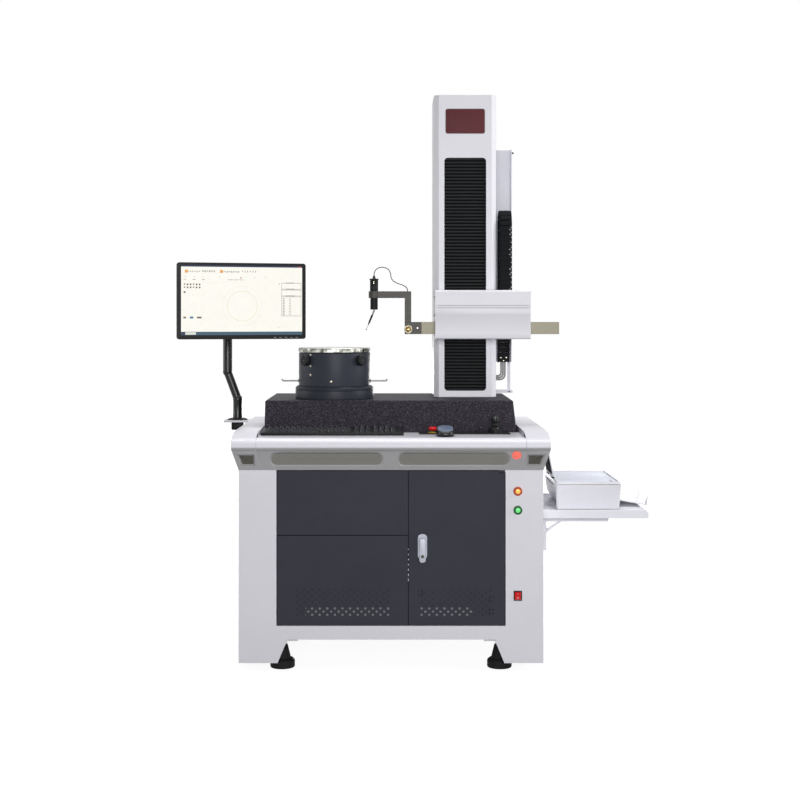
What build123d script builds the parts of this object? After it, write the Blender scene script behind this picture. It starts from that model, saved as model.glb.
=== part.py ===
from build123d import *
import os
from math import cos, pi, radians, sin, tan

# A roundness measuring instrument, in millimetres. The origin is on the floor under the centre of the
# cabinet, X to the right, Y away from the person who works at it, Z up.

# Cabinet
cabinet_width = 1000.0
cabinet_depth = 700.0
cabinet_height = 556.0
floor_gap = 105.0
side_wall = 15.0
front_wall = 20.0
rear_wall = 15.0
floor_sheet = 12.0
post_width = 124.0
sill_height = 45.0
rim_height = 20.0
rim_side = 100.0
rim_end = 60.0
beam_width = 60.0
beam_end_gap = 20.0
mullion_width = 34.0
mullion_depth = 30.0
rear_border = 70.0
rear_rebate = 15.0
rear_sheet = 2.0

# Legs and feet
leg_length = 77.0
leg_toe = 128.0
leg_root = 160.0
leg_side_toe = 100.0
leg_side_root = 130.0
foot_inset_x = 139.0
foot_inset_y = 68.0
foot_plate = 110.0
foot_plate_thickness = 8.0
foot_pad_radius = 41.0
foot_pad_height = 30.0
foot_pad_chamfer = 8.0
foot_stem_radius = 27.0
foot_stem_height = 44.0
foot_neck_radius = 18.0
foot_stud_radius = 8.0

# Front panels and door
panel_gap = 2.0
panel_sheet = 2.0
door_thickness = 18.0
door_split_x = 57.0
panel_split_z = 447.0
vent_rows = 4
vent_pitch_x = 33.2
vent_pitch_z = 27.5
vent_radius = 5.4
vent_sides = 4
left_vent_x = 65.0
left_vent_margin = 60.0
door_vent_x = 38.0
door_vent_margin = 40.0
vent_z = 35.0
hinge_pin_radius = 3.0
hinge_pin_length = 6.0
hinge_inset_x = 5.5
hinge_inset_y = 5.0
hinge_lug_width = 16.0
hinge_lug_height = 6.0
running_clearance = 0.05

# Latch
latch_inset = 46.0
latch_z = 410.5
latch_width = 30.5
latch_height = 83.0
latch_thickness = 6.0
handle_width = 21.0
handle_length = 81.0
handle_thickness = 8.0
handle_drop = 10.0

# Console
cap_width = 80.0
cap_overhang = 20.0
cap_height = 124.0
deck_drop = 17.0
deck_thickness = 6.0
front_reach = 43.0
roll_length = 128.0
roll_height = 40.0
roll_tuck = 9.0
roll_under = 18.0
roll_tuck_depth = 2.5
quarter_turn = 90
bevel_drop = 55.0
seam_lean = 15.0
front_shell = 58.0
rear_skirt = 4.0
pocket_depth = 8.0
pocket_low = 11.0
pocket_height = 52.0
left_pocket_end = 42.0
left_pocket_right = -25.0
right_pocket_left = 20.0
right_pocket_end = 50.0
window_low = 16.0
window_height = 38.0
window_inner = 6.0
window_outer = 18.0
window_lean = 12.0
fascia_lamp_inset = 30.5
fascia_lamp_rise = 51.0
fascia_lamp_radius = 15.3
fascia_lamp_depth = 6.0
fascia_lamp_stand = 4.0

# Granite base
granite_end_gap = 4.0
granite_left_taper = 4.0
granite_right_taper = 17.0
granite_rear_gap = 65.0
granite_setback = 200.0
granite_thickness = 150.0
granite_rise = 92.0
deck_to_granite = 2.0

# Rotary table
table_x = -200.0
table_base_radius = 138.0
table_base_height = 38.0
table_base_chamfer = 6.6
groove_width = 3.0
groove_depth = 3.0
groove_drop = 5.0
housing_radius = 126.0
housing_height = 117.0
housing_wall = 26.0
housing_recess = 40.0
spindle_radius = 30.0
spindle_length = 41.0
plate_radius = 128.0
plate_thickness = 16.0
plate_chamfer = 1.0
cross_slide_radius = 92.0
centring_travel = 3.0
knob_radius = 19.0
knob_thickness = 18.0
knob_spindle_radius = 4.0
knob_drop = 26.0
knob_stand = 2.0
lever_reach = 188.0
lever_radius = 2.75
lever_tip = 13.0
lever_rise = 16.0
lever_seat = 10.0

# Column
column_x = 265.5
column_width = 223.0
column_depth = 230.0
column_rear_gap = 15.0
column_height = 1082.0
column_chamfer = 17.0
column_wall = 6.0
window_width = 149.0
window_length = 833.0
window_rise = 23.0
window_corner = 12.0
display_width = 140.0
display_height = 88.0
display_drop = 51.0
display_corner = 9.0
display_flange = 5.0
display_sheet = 2.0
guide_width = 100.0
guide_depth = 120.0
guide_setback = 70.0
guide_top_gap = 30.0

# Bellows
pleat_pitch = 11.7
pleat_depth = 20.0
bellows_sheet = 5.0
bellows_margin = 8.0

# Carriage
cover_left = 155.0
cover_width = 335.0
cover_height = 172.0
cover_z = 1086.0
cover_depth = 91.0
cover_stand = 4.0
cover_wall = 6.0
cover_edge = 6.0
cover_waist_z = 70.0
cover_waist_depth = 5.0
cover_waist_rise = 14.0
cover_waist_fall = 50.0
cover_groove_z = (109.0, 117.0)
cover_groove_width = 1.5
cover_groove_depth = 1.2
saddle_width = 124.0
saddle_height = 145.0
saddle_z = 14.0
saddle_plate = 12.0
guide_block_width = 230.0
guide_block_wall = 5.0
carriage_fit = 0.3

# Measuring arm and probe
arm_setback = 41.0
arm_left = 107.0
arm_length = 487.0
arm_height = 43.0
arm_thickness = 30.0
arm_z = 17.0
end_block_length = 58.5
bracket_thickness = 20.0
riser_width = 23.0
riser_height = 108.6
bracket_height = 24.0
bracket_reach = 127.5
bracket_ring = 5.0
probe_offset = 19.0
probe_radius = 13.5
probe_top_radius = 14.5
probe_flange_radius = 16.5
probe_gland_radius = 4.0
probe_below = 41.0
probe_shoulder_gap = 0.5
probe_above = 34.0
probe_flange = 10.0
probe_gland = 11.0
stylus_lean = 22.6
stylus_length = 75.0
stylus_taper_start = 41.0
stylus_hub_radius = 3.7
stylus_hub_length = 6.0
stylus_radius = 1.8
stylus_tip_radius = 0.8
clamp_knob_radius = 15.0
clamp_knob_thickness = 12.0
clamp_knob_boss = 10.5
clamp_knob_boss_height = 4.0
clamp_knob_inset = 12.5
clamp_knob_drop = 4.5
bend_steps = 2
probe_cable_radius = 1.5
probe_cable_share = 0.45

# Drag chain
chain_gap = 7.0
chain_width = 54.0
chain_height = 25.0
chain_pitch = 18.0
chain_notch = 2.5
chain_front_setback = 20.0
chain_bend_radius = 50.0
chain_bottom = 122.0
chain_top = 673.0
chain_end_z = 64.0
channel_above = 900.0
channel_sheet = 3.0
channel_flange = 22.0
channel_bar_width = 11.0
channel_foot_length = 68.0
channel_foot_height = 10.0
channel_foot_rise = 9.0
end_cable_radius = 3.25
end_cable_pitch = 9.5
end_cable_first = 25.0
end_cable_share = 0.7
end_cable_drop = 46.0
end_cable_step = 8.0
cable_slot_margin = 4.0

# Monitor and its arm
monitor_shift = 37.0
monitor_forward = 190.0
monitor_z = 1220.0
monitor_yaw = 16.4
monitor_width = 459.0
monitor_height = 270.0
monitor_thickness = 22.0
monitor_bulge_width = 220.0
monitor_bulge_height = 150.0
monitor_bulge = 24.0
screen_width = 432.0
screen_height = 245.0
screen_thickness = 1.5
screen_rise = 2.5
vesa_plate = 100.0
vesa_thickness = 4.0
yoke_radius = 10.0
yoke_length = 40.0
yoke_gap = 1.0
ear_thickness = 6.0
ear_half_height = 12.0
ear_reach = 12.0
stub_radius = 5.0
tube_radius = 17.5
tube_sides = 8
tube_bend = 80.0
post_stand = 46.0
post_rear_gap = 160.0
post_shift = -37.0
post_bend_z = 69.0
post_second_bend_z = 169.0
post_height = 408.0
post_disc_radius = 37.5
post_disc_height = 7.0
hub_radius = 22.0
hub_height = 40.0
link_radius = 12.0
bracket_plate_reach = 92.0
bracket_plate_depth = 90.0
bracket_plate_thickness = 7.0
bracket_flange_drop = 50.0
bracket_flange_thickness = 4.0
under_clamp_size = 42.0
under_clamp_height = 30.0

# Shelf and printer
shelf_length = 365.0
shelf_setback = 100.0
shelf_depth = 422.0
shelf_z = 487.0
shelf_lip = 29.0
shelf_end_lip = 21.0
shelf_floor_rise = 13.0
shelf_floor = 6.0
shelf_edge = 3.0
bracket_leg_width = 26.0
bracket_leg_drop = 112.0
bracket_arm_length = 236.0
bracket_arm_drop = 16.0
bracket_depth = 30.0
bracket_inset = 50.0
strut_width = 8.0
strut_reach = 56.0
strut_drop = 42.0
printer_left = 62.0
printer_width = 226.0
printer_setback = 70.0
printer_depth = 339.0
printer_height = 95.0
printer_corner = 22.0
printer_panel_inset = 14.0
printer_panel_depth = 3.0
support_thickness = 4.0
support_length = 143.0
support_lean = 11.3
support_depth = 200.0
support_rise = 4.0
tray_length = 98.0
tray_depth = 202.0
tray_thickness = 3.0
tray_rise = 24.0
tray_fall = 10.2
tray_stop_height = 25.0
tray_stop_width = 22.0

# Things on the deck
keyboard_end_gap = 6.0
keyboard_control_gap = 53.0
keyboard_depth = 130.0
keyboard_gap = 2.0
keyboard_front_height = 10.0
keyboard_rear_height = 20.0
key_rows = 6
key_row_width = 15.0
key_height = 3.0
mouse_inset = 85.0
mouse_gap = 88.0
mouse_width = 62.0
mouse_length = 102.0
mouse_height = 34.0
mouse_corner = 28.0
mouse_steps = 8
mouse_front_height = 12.0
mouse_rear_height = 10.0
control_end_gap = 37.0
control_width = 308.0
control_depth = 78.0
control_gap = 8.0
control_thickness = 3.0
estop_inset = 47.0
estop_radius = 17.0
estop_collar_radius = 19.0
estop_collar_height = 10.0
estop_stem_radius = 8.0
estop_head_rise = 16.0
estop_head_height = 12.0
estop_seat = 7.0
estop_edge = 3.5
joystick_inset = 259.0
joystick_collar_radius = 23.0
joystick_collar_wall = 3.5
joystick_collar_height = 14.0
joystick_pivot_rise = 9.5
joystick_hub_radius = 14.6
joystick_hub_angles = (-30, -15, 0, 28, 55)
joystick_stick_radius = 4.5
joystick_height = 58.0
joystick_knob_radius = 15.0
joystick_knob_height = 24.0
joystick_knob_edge = 7.0
gimbal_inner = 15.3
gimbal_outer = 18.6
gimbal_height = 6.0
speed_knob_inset = 210.0
speed_knob_radius = 7.5
speed_knob_height = 18.0
small_sides = 14
slot_steps = 6
corner_steps = 3
table_sides = 32
foot_sides = 12
probe_sides = 16

# Post switches
switch_inset = 84.0
amber_z = 592.0
green_z = 530.0
rocker_z = 249.0
bezel_radius = 15.0
bezel_height = 6.0
lens_radius = 11.5
lens_stand = 9.0
lens_seat = 4.0
lens_travel = 3.0
lens_floor = 2.0
rocker_width = 20.0
rocker_height = 25.0
rocker_stand = 3.0
rocker_seat = 8.0
rocker_bend = 1.5
rocker_flank = 2.0
rocker_keel = 4.0
rocker_frame_width = 27.5
rocker_frame_height = 33.0
rocker_frame_stand = 2.0
switch_clearance = 0.5
rocker_clearance = 3.0

# Inside the cabinet
computer_width = 180.0
computer_height = 420.0
computer_depth = 400.0
computer_left = 30.0
computer_rear_gap = 60.0

# Places that follow from the sizes above
seat = 0.3
half_width = cabinet_width / 2
half_depth = cabinet_depth / 2
front_y = -half_depth
cabinet_z = floor_gap
cabinet_top = cabinet_z + cabinet_height
sill_z = cabinet_z + sill_height
floor_z = cabinet_z + floor_sheet
opening_x = half_width - post_width
switch_x = half_width - switch_inset
latch_x = door_split_x + latch_inset
left_vent_columns = int((opening_x + door_split_x - left_vent_x - left_vent_margin) / vent_pitch_x) + 1
door_vent_columns = int((opening_x - door_split_x - door_vent_x - door_vent_margin) / vent_pitch_x) + 1
inside_front = front_y + front_wall
foot_x = half_width - foot_inset_x
foot_y = half_depth - foot_inset_y
cap_top = cabinet_top + cap_height
deck_z = cap_top - deck_drop
cap_outer = half_width + cap_overhang
cap_inner = cap_outer - cap_width
left_pocket_x = (-cap_inner + left_pocket_end, left_pocket_right)
right_pocket_x = (right_pocket_left, cap_inner - right_pocket_end)
fascia_lamp_x = cap_inner - fascia_lamp_inset
console_front_y = front_y - front_reach
roll_y = console_front_y + roll_length
roll_z = cap_top - roll_height
fascia_y = console_front_y + roll_tuck
fascia_z = roll_z - roll_under
shell_y = console_front_y + front_shell
granite_top = cap_top + granite_rise
granite_z = granite_top - granite_thickness
granite_front = front_y + granite_setback
granite_back = half_depth - granite_rear_gap
granite_half = cap_inner - granite_end_gap
column_back = granite_back - column_rear_gap
column_front = column_back - column_depth
cover_back = column_front - cover_stand
arm_y = cover_back - arm_setback
table_y = arm_y
shoulder_z = granite_top + table_base_height
housing_z = shoulder_z + table_base_chamfer + seat
housing_top = housing_z + housing_height
recess_z = housing_top - housing_recess
plate_z = housing_top + seat
plate_top = plate_z + plate_thickness
knob_z = housing_top - knob_drop
lever_z = housing_z + lever_rise
column_top = granite_top + column_height
column_right = column_x + column_width / 2
window_z = granite_top + window_rise
window_top = window_z + window_length
display_top = column_top - display_drop
guide_front = column_front + guide_setback
bellows_y = column_front + column_wall + seat
cover_top = cover_z + cover_height
cover_front = cover_back - cover_depth
cover_right = cover_left + cover_width
saddle_bottom = cover_z + saddle_z
saddle_top = saddle_bottom + saddle_height
arm_bottom = cover_z + arm_z
arm_top = arm_bottom + arm_height
arm_front = arm_y - arm_thickness / 2
block_left = arm_left - end_block_length
bracket_top = arm_top + riser_height
bracket_z = bracket_top - bracket_height
bracket_left = block_left - bracket_reach
probe_x = bracket_left + probe_offset
probe_bottom = bracket_z - probe_below
chain_left = column_right + chain_gap
chain_right = chain_left + chain_width
chain_front_y = column_front + chain_front_setback
chain_rear_y = chain_front_y + 2 * chain_bend_radius
chain_bottom_z = granite_top + chain_bottom
chain_bend_z = granite_top + chain_top - chain_bend_radius - chain_height / 2
chain_end = cover_z + chain_end_z
channel_y = chain_rear_y + chain_height / 2 + 2 * seat
channel_top = granite_top + channel_above
pivot_z = deck_z + control_thickness + joystick_pivot_rise
control_top = deck_z + control_thickness
control_rear = granite_front - control_gap
control_left = cap_inner - control_end_gap - control_width
estop_x = control_left + estop_inset
speed_knob_x = control_left + speed_knob_inset
joystick_x = control_left + joystick_inset
mouse_x = control_left + mouse_inset
keyboard_left = -cap_inner + keyboard_end_gap
keyboard_right = control_left - keyboard_control_gap
control_y = control_rear - control_depth / 2
post_x = -cap_outer - post_stand
post_y = half_depth - post_rear_gap
post_base = cap_top + post_disc_height
post_top = post_base + post_height
yaw = radians(monitor_yaw)
across = Vector(cos(yaw), sin(yaw), 0)
backward = Vector(-sin(yaw), cos(yaw), 0)
monitor_centre = Vector(post_x + monitor_shift, post_y - monitor_forward, monitor_z)
yoke_back = monitor_thickness / 2 + monitor_bulge + vesa_thickness + yoke_gap + yoke_radius
yoke_centre = monitor_centre + backward * yoke_back
shelf_right = half_width + shelf_length
shelf_front = front_y + shelf_setback
shelf_floor_z = shelf_z + shelf_floor_rise
shelf_top = shelf_floor_z + shelf_floor
printer_x = half_width + printer_left
printer_front = shelf_front + printer_setback
printer_right = printer_x + printer_width
printer_top = shelf_top + printer_height
support_x = printer_x + support_thickness / 2
support_z = printer_top + support_rise
tray_z = shelf_top + tray_rise

# The route of the probe's cable, from its gland over to the bracket's corner, as (right of the probe's
# axis, above the gland)
probe_cable_route = [
    (0, 0), (0, 12.5), (9.5, 25.0), (22.8, 29.8), (37.3, 29.1), (48.3, 24.5), (56.1, 15.2),
    (58.9, 3.6), (60.7, -8.2), (66.4, -18.1), (77.0, -24.9), (90.5, -30.0), (103.0, -34.0),
    (113.5, -40.5), (119.0, -49.0), (119.0, -55.5),
]


def block(x, y, z):
    """A box, each side given as (low, high)."""
    sides = [high - low for low, high in (x, y, z)]
    centre = [(low + high) / 2 for low, high in (x, y, z)]
    return Pos(*centre) * Box(*sides)


def along_x(points, x):
    """An outline of (Y, Z) points carried along X from low to high."""
    return extrude(Plane.YZ.offset(x[0]) * Polygon(*points, align=None), x[1] - x[0], dir=(1, 0, 0))


def along_y(points, y):
    """An outline of (X, Z) points carried along Y from low to high."""
    return extrude(Plane.XZ.offset(-y[1]) * Polygon(*points, align=None), y[1] - y[0], dir=(0, -1, 0))


def rod(start, end, radius, sides=0):
    """A straight bar from one point to another, round or with flat sides."""
    line = Vector(*end) - Vector(*start)
    section = RegularPolygon(radius, sides) if sides else Circle(radius)
    return extrude(Plane(origin=start, z_dir=line) * section, line.length)


def turned(steps, sides=small_sides):
    """A turned piece on the Z axis, from (height, radius) steps, with flat sides."""
    corners = [2 * pi * i / sides for i in range(sides)]
    rings = [[Vector(radius * cos(a), radius * sin(a), z) for a in corners] for z, radius in steps]
    faces = [Face(Wire.make_polygon(rings[0])), Face(Wire.make_polygon(rings[-1]))]
    for low, high in zip(rings, rings[1:]):
        for i in range(sides):
            j = (i + 1) % sides
            faces.append(Face(Wire.make_polygon([low[i], low[j], high[j], high[i]])))
    return Part() + Solid(Shell(faces))


def prism(z, radius, sides=small_sides):
    """A plain bar on the Z axis with flat sides, its corners at the radius."""
    return turned([(z[0], radius), (z[1], radius)], sides)


def bore(z, radius, clearance=running_clearance, sides=small_sides):
    """What is cut away for a shaft on the Z axis, so that its corners clear the hole's flats."""
    return prism(z, (radius + clearance) / cos(pi / sides), sides)


def ring(z, outer, inner):
    """A small ring on the Z axis with flat sides."""
    return prism(z, outer) - prism((z[0] - 1, z[1] + 1), inner)


def mirrored(shape):
    """A piece together with its mirror image across the middle of the instrument."""
    return [shape, mirror(shape, Plane.YZ)]


def front_slot(x, z, y):
    """A slot with round ends, seen from the front, cut from low y to high y."""
    radius = min(z[1] - z[0], x[1] - x[0]) / 2
    centres = [(x[1] - radius, z[1] - radius), (x[0] + radius, z[0] + radius)]
    if x[1] - x[0] > z[1] - z[0]:
        starts = (-pi / 2, pi / 2)
    else:
        starts = (0, pi)
    outline = []
    for (centre_x, centre_z), start in zip(centres, starts):
        for i in range(slot_steps + 1):
            angle = start + pi * i / slot_steps
            outline.append((centre_x + radius * cos(angle), centre_z + radius * sin(angle)))
    return along_y(outline, y)


def leg():
    """The corner of folded sheet under the right front of the cabinet, with its slanted gussets."""
    bottom = cabinet_z - leg_length
    root = cabinet_z + side_wall / 2
    front = along_y(
        [(half_width, root), (half_width, bottom), (half_width - leg_toe, bottom),
         (half_width - leg_root, cabinet_z), (half_width - leg_root, root)],
        (front_y, front_y + front_wall),
    )
    side = along_x(
        [(front_y, root), (front_y, bottom), (front_y + leg_side_toe, bottom),
         (front_y + leg_side_root, cabinet_z), (front_y + leg_side_root, root)],
        (half_width - side_wall, half_width),
    )
    half_plate = foot_plate / 2
    plate = block(
        (foot_x - half_plate, foot_x + half_plate),
        (-foot_y - half_plate, -foot_y + half_plate),
        (cabinet_z - foot_plate_thickness, cabinet_z + floor_sheet / 2),
    )
    return front + side + plate


def hinge_point():
    """Where the door's hinge axis stands, seen from above."""
    return opening_x - panel_gap - hinge_inset_x, front_y + hinge_inset_y


def cabinet_frame():
    """The welded cabinet: walls, sill, floor, rim, mullion, legs and the two beams under the granite."""
    body = block((-half_width, half_width), (-half_depth, half_depth), (cabinet_z, cabinet_top))
    inside_top = cabinet_top - rim_height
    body -= block(
        (-half_width + side_wall, half_width - side_wall),
        (inside_front, half_depth - rear_wall),
        (floor_z, inside_top),
    )
    body -= block(
        (-half_width + rim_side, half_width - rim_side),
        (inside_front + rim_end, half_depth - rear_wall - rim_end),
        (inside_top - 1, cabinet_top + 1),
    )
    body -= block((-opening_x, opening_x), (front_y - 1, inside_front), (sill_z, cabinet_top + 1))
    body -= block((-opening_x, opening_x), (inside_front - 1, inside_front + 1), (sill_z, inside_top))
    body += block(
        (door_split_x - mullion_width / 2, door_split_x + mullion_width / 2),
        (inside_front, inside_front + mullion_depth),
        (floor_z - 1, inside_top + 1),
    )
    rear_x = half_width - rear_border
    rear_z = (cabinet_z + rear_border, cabinet_top - rear_border)
    body -= block((-rear_x, rear_x), (half_depth - rear_wall - 1, half_depth + 1), rear_z)
    body -= block(
        (-rear_x - rear_rebate, rear_x + rear_rebate),
        (half_depth - rear_sheet, half_depth + 1),
        (rear_z[0] - rear_rebate, rear_z[1] + rear_rebate),
    )
    for corner in mirrored(leg()):
        body += corner
        body += mirror(corner, Plane.XZ)
    beam_x = half_width - rim_side + beam_end_gap
    for y in (granite_front + beam_width, granite_back - beam_width):
        beam_y = (y - beam_width / 2, y + beam_width / 2)
        body += block((-beam_x, beam_x), beam_y, (cabinet_top - 1, granite_z))
    body += block(
        (opening_x - panel_gap - hinge_lug_width, opening_x + 1),
        (front_y + 1, inside_front + 1),
        (cabinet_top - hinge_lug_height, cabinet_top),
    )
    return body - front_holes()


def front_holes():
    """The holes for the door's hinge pins, the lit buttons and the rocker switch."""
    hinge_x, hinge_y = hinge_point()
    lug_z = cabinet_top - hinge_lug_height
    holes = []
    for z in ((sill_z - hinge_pin_length, sill_z + 1), (lug_z - 1, cabinet_top + 1)):
        holes.append(Pos(hinge_x, hinge_y, 0) * bore(z, hinge_pin_radius))
    depth = lens_seat + lens_travel + lens_floor
    for z in (amber_z, green_z):
        place = Plane(origin=(switch_x, front_y, z), z_dir=(0, 1, 0))
        holes.append(place * prism((-1, depth), lens_radius + switch_clearance))
    half_x = rocker_width / 2 + switch_clearance
    half_z = rocker_height / 2 + 2 * switch_clearance
    holes.append(block(
        (switch_x - half_x, switch_x + half_x),
        (front_y - 1, front_y + rocker_seat + rocker_clearance),
        (rocker_z - half_z, rocker_z + half_z),
    ))
    return holes


def rear_panel():
    """The sheet screwed into the rebate of the cabinet's back."""
    x = half_width - rear_border + rear_rebate - panel_gap / 4
    z = rear_border - rear_rebate + panel_gap / 4
    return block((-x, x), (half_depth - rear_sheet, half_depth), (cabinet_z + z, cabinet_top - z))


def vents(columns, left, bottom):
    """Rows of vent holes, as places (X, Z)."""
    places = []
    for row in range(vent_rows):
        for column in range(columns):
            places.append((left + column * vent_pitch_x, bottom + row * vent_pitch_z))
    return places


def tray_panel(outline, y, holes):
    """A sheet with its edges folded back, seen from the front as an outline of (X, Z) points."""
    face = Plane.XZ.offset(-y[1]) * Polygon(*outline, align=None)
    forward = (0, -1, 0)
    pan = extrude(face, y[1] - y[0], dir=forward)
    inside = offset(face, amount=-panel_sheet, kind=Kind.INTERSECTION)
    pocket = extrude(inside, y[1] - y[0] - panel_sheet, dir=forward)
    pan -= pocket
    if holes:
        hole = RegularPolygon(vent_radius, vent_sides)
        sketch = Sketch() + [Pos(x, z) * hole for x, z in holes]
        pan -= extrude(Plane.XZ.offset(-y[0] - panel_sheet - 1) * sketch, panel_sheet + 2, dir=forward)
    return pan


def upper_front_panel():
    """The plain upper panel on the left."""
    x = (-opening_x + panel_gap, door_split_x - panel_gap / 2)
    z = (panel_split_z + panel_gap / 2, cabinet_top - panel_gap)
    return tray_panel([(x[0], z[0]), (x[1], z[0]), (x[1], z[1]), (x[0], z[1])], (front_y, inside_front), [])


def lower_front_panel():
    """The vented lower panel on the left."""
    x = (-opening_x + panel_gap, door_split_x - panel_gap / 2)
    z = (sill_z + panel_gap, panel_split_z - panel_gap / 2)
    holes = vents(left_vent_columns, x[0] + left_vent_x, z[0] + vent_z)
    outline = [(x[0], z[0]), (x[1], z[0]), (x[1], z[1]), (x[0], z[1])]
    return tray_panel(outline, (front_y, inside_front), holes)


def door():
    """The vented door, with its two hinge pins and the notch over the upper one."""
    x = (door_split_x + panel_gap / 2, opening_x - panel_gap)
    z = (sill_z + panel_gap, cabinet_top - panel_gap)
    notch_x = x[1] - hinge_lug_width - panel_gap
    notch_z = cabinet_top - hinge_lug_height - panel_gap
    outline = [(x[0], z[0]), (x[1], z[0]), (x[1], notch_z), (notch_x, notch_z), (notch_x, z[1]), (x[0], z[1])]
    holes = vents(door_vent_columns, x[0] + door_vent_x, z[0] + vent_z)
    pan = tray_panel(outline, (front_y, front_y + door_thickness), holes)
    hinge_x, hinge_y = hinge_point()
    lower = (sill_z - hinge_pin_length + 1, z[0] + panel_sheet)
    upper = (notch_z - panel_sheet, cabinet_top - 1)
    for pin in (lower, upper):
        pan += Pos(hinge_x, hinge_y, 0) * prism(pin, hinge_pin_radius)
    return pan


def latch_body():
    """The long plate of the latch, with round ends."""
    half = latch_height / 2
    return front_slot(
        (latch_x - latch_width / 2, latch_x + latch_width / 2),
        (latch_z - half, latch_z + half),
        (front_y - latch_thickness, front_y),
    )


def latch_handle():
    """The lever of the latch, turning about a round upper end."""
    middle = front_y - latch_thickness - seat - handle_thickness / 2
    top = latch_z - latch_height / 2 - handle_drop + handle_length
    pivot = top - handle_thickness / 2
    x = (latch_x - handle_width / 2, latch_x + handle_width / 2)
    near = middle - handle_thickness / 2
    far = middle + handle_thickness / 2
    bottom = top - handle_length
    bend = bottom + handle_thickness / 2
    outline = [(far, pivot), (far, bend), (middle, bottom), (near, bottom), (near, pivot)]
    bar = along_x(outline, x)
    return bar + rod((x[0], middle, pivot), (x[1], middle, pivot), handle_thickness / 2)


def levelling_feet():
    """Four feet, each a pad and a stem with its stud."""
    steps = [(0, foot_pad_radius), (foot_pad_height - foot_pad_chamfer, foot_pad_radius),
             (foot_pad_height, foot_pad_radius - foot_pad_chamfer)]
    stem_top = foot_pad_height + foot_stem_height
    stem_steps = [(foot_pad_height, foot_stem_radius), (stem_top, foot_neck_radius),
                  (stem_top, foot_stud_radius), (cabinet_z - foot_plate_thickness, foot_stud_radius)]
    pieces = []
    for x in (-foot_x, foot_x):
        for y in (-foot_y, foot_y):
            pieces += [Pos(x, y, 0) * turned(outline, foot_sides) for outline in (steps, stem_steps)]
    return pieces


def console_section():
    """The side outline of the console: flat top, elliptical roll, tuck under and sloping fascia."""
    middle_y, middle_z = (console_front_y + fascia_y) / 2, (roll_z + fascia_z) / 2
    tuck = (middle_y - roll_tuck_depth, middle_z - roll_tuck_depth)
    lines = [
        Line((half_depth, cabinet_top), (half_depth, cap_top)),
        Line((half_depth, cap_top), (roll_y, cap_top)),
        EllipticalCenterArc(
            (roll_y, roll_z), roll_length, roll_height, start_angle=quarter_turn, arc_size=quarter_turn
        ),
        ThreePointArc((console_front_y, roll_z), tuck, (fascia_y, fascia_z)),
        Line((fascia_y, fascia_z), (front_y, cabinet_top)),
        Line((front_y, cabinet_top), (half_depth, cabinet_top)),
    ]
    return make_face(lines)


def middle_outline(top):
    """The front outline of what lies between the end caps, up to a height."""
    return [(-cap_inner, top), (-cap_inner, fascia_z), (-cap_inner + seam_lean, cabinet_top),
            (cap_inner - seam_lean, cabinet_top), (cap_inner, fascia_z), (cap_inner, top)]


def fascia_slab():
    """The layer of the sloping fascia, as deep as the pockets."""
    outside = console_front_y - 1
    outline = [(outside, cabinet_top), (front_y + pocket_depth, cabinet_top),
               (fascia_y + pocket_depth, fascia_z), (outside, fascia_z)]
    return along_x(outline, (-cap_outer, cap_outer))


def fascia_point(rise):
    """The Y of the fascia at a height above the cabinet."""
    return front_y + (fascia_y - front_y) * rise / (fascia_z - cabinet_top)


def fascia_lamp_plane(depth):
    """The plane of the fascia lamp, a depth below the sloping surface."""
    slope = Vector(0, fascia_y - front_y, fascia_z - cabinet_top).normalized()
    outward = Vector(0, -slope.Z, slope.Y)
    place = Vector(fascia_lamp_x, fascia_point(fascia_lamp_rise), cabinet_top + fascia_lamp_rise)
    return Plane(origin=place - outward * depth, z_dir=outward)


def console_front():
    """The middle of the console's front: roll and fascia, with two long pockets and the lamp's seat."""
    body = extrude(Plane.YZ.offset(-cap_inner) * console_section(), 2 * cap_inner, dir=(1, 0, 0))
    body &= along_y(middle_outline(deck_z), (console_front_y - 1, shell_y))
    low = cabinet_top + pocket_low
    for x in (left_pocket_x, right_pocket_x):
        slot = front_slot(x, (low, low + pocket_height), (console_front_y - 1, shell_y))
        body -= slot & fascia_slab()
    seat_hole = prism((0, fascia_lamp_depth + fascia_lamp_stand), fascia_lamp_radius + seat)
    return body - fascia_lamp_plane(fascia_lamp_depth) * seat_hole


def fascia_lamp():
    """The round lamp at the right of the fascia."""
    high = fascia_lamp_depth + fascia_lamp_stand
    lens = turned([(0, fascia_lamp_radius), (high - 2, fascia_lamp_radius), (high, fascia_lamp_radius - 3)])
    return fascia_lamp_plane(fascia_lamp_depth) * lens


def console_ends():
    """The two end caps, each with a bevel below its outer edge and a slanted window."""
    body = extrude(Plane.YZ * console_section(), cap_outer, dir=(1, 0, 0))
    outline = [(cap_inner, cap_top), (cap_inner, fascia_z), (cap_inner - seam_lean, cabinet_top),
               (half_width, cabinet_top), (cap_outer, cap_top - bevel_drop), (cap_outer, cap_top)]
    body &= along_y(outline, (console_front_y - 1, half_depth + 1))
    low = cabinet_top + window_low
    high = low + window_height
    left, right = cap_inner + window_inner, cap_outer - window_outer
    window = along_y(
        [(left, low), (right - window_lean, low), (right, high), (left, high)],
        (console_front_y - 1, front_y + front_wall),
    )
    body -= window & fascia_slab()
    return mirrored(body)


def console_deck():
    """The deck in front of the granite, and the one behind it with its skirt."""
    x, z = (-cap_inner, cap_inner), (deck_z - deck_thickness, deck_z)
    front = block(x, (shell_y, granite_front - deck_to_granite), z)
    rear = block(x, (granite_back + deck_to_granite, half_depth), z)
    rear += along_y(middle_outline(deck_z - deck_thickness / 2), (half_depth - rear_skirt, half_depth))
    return [front, rear]


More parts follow.
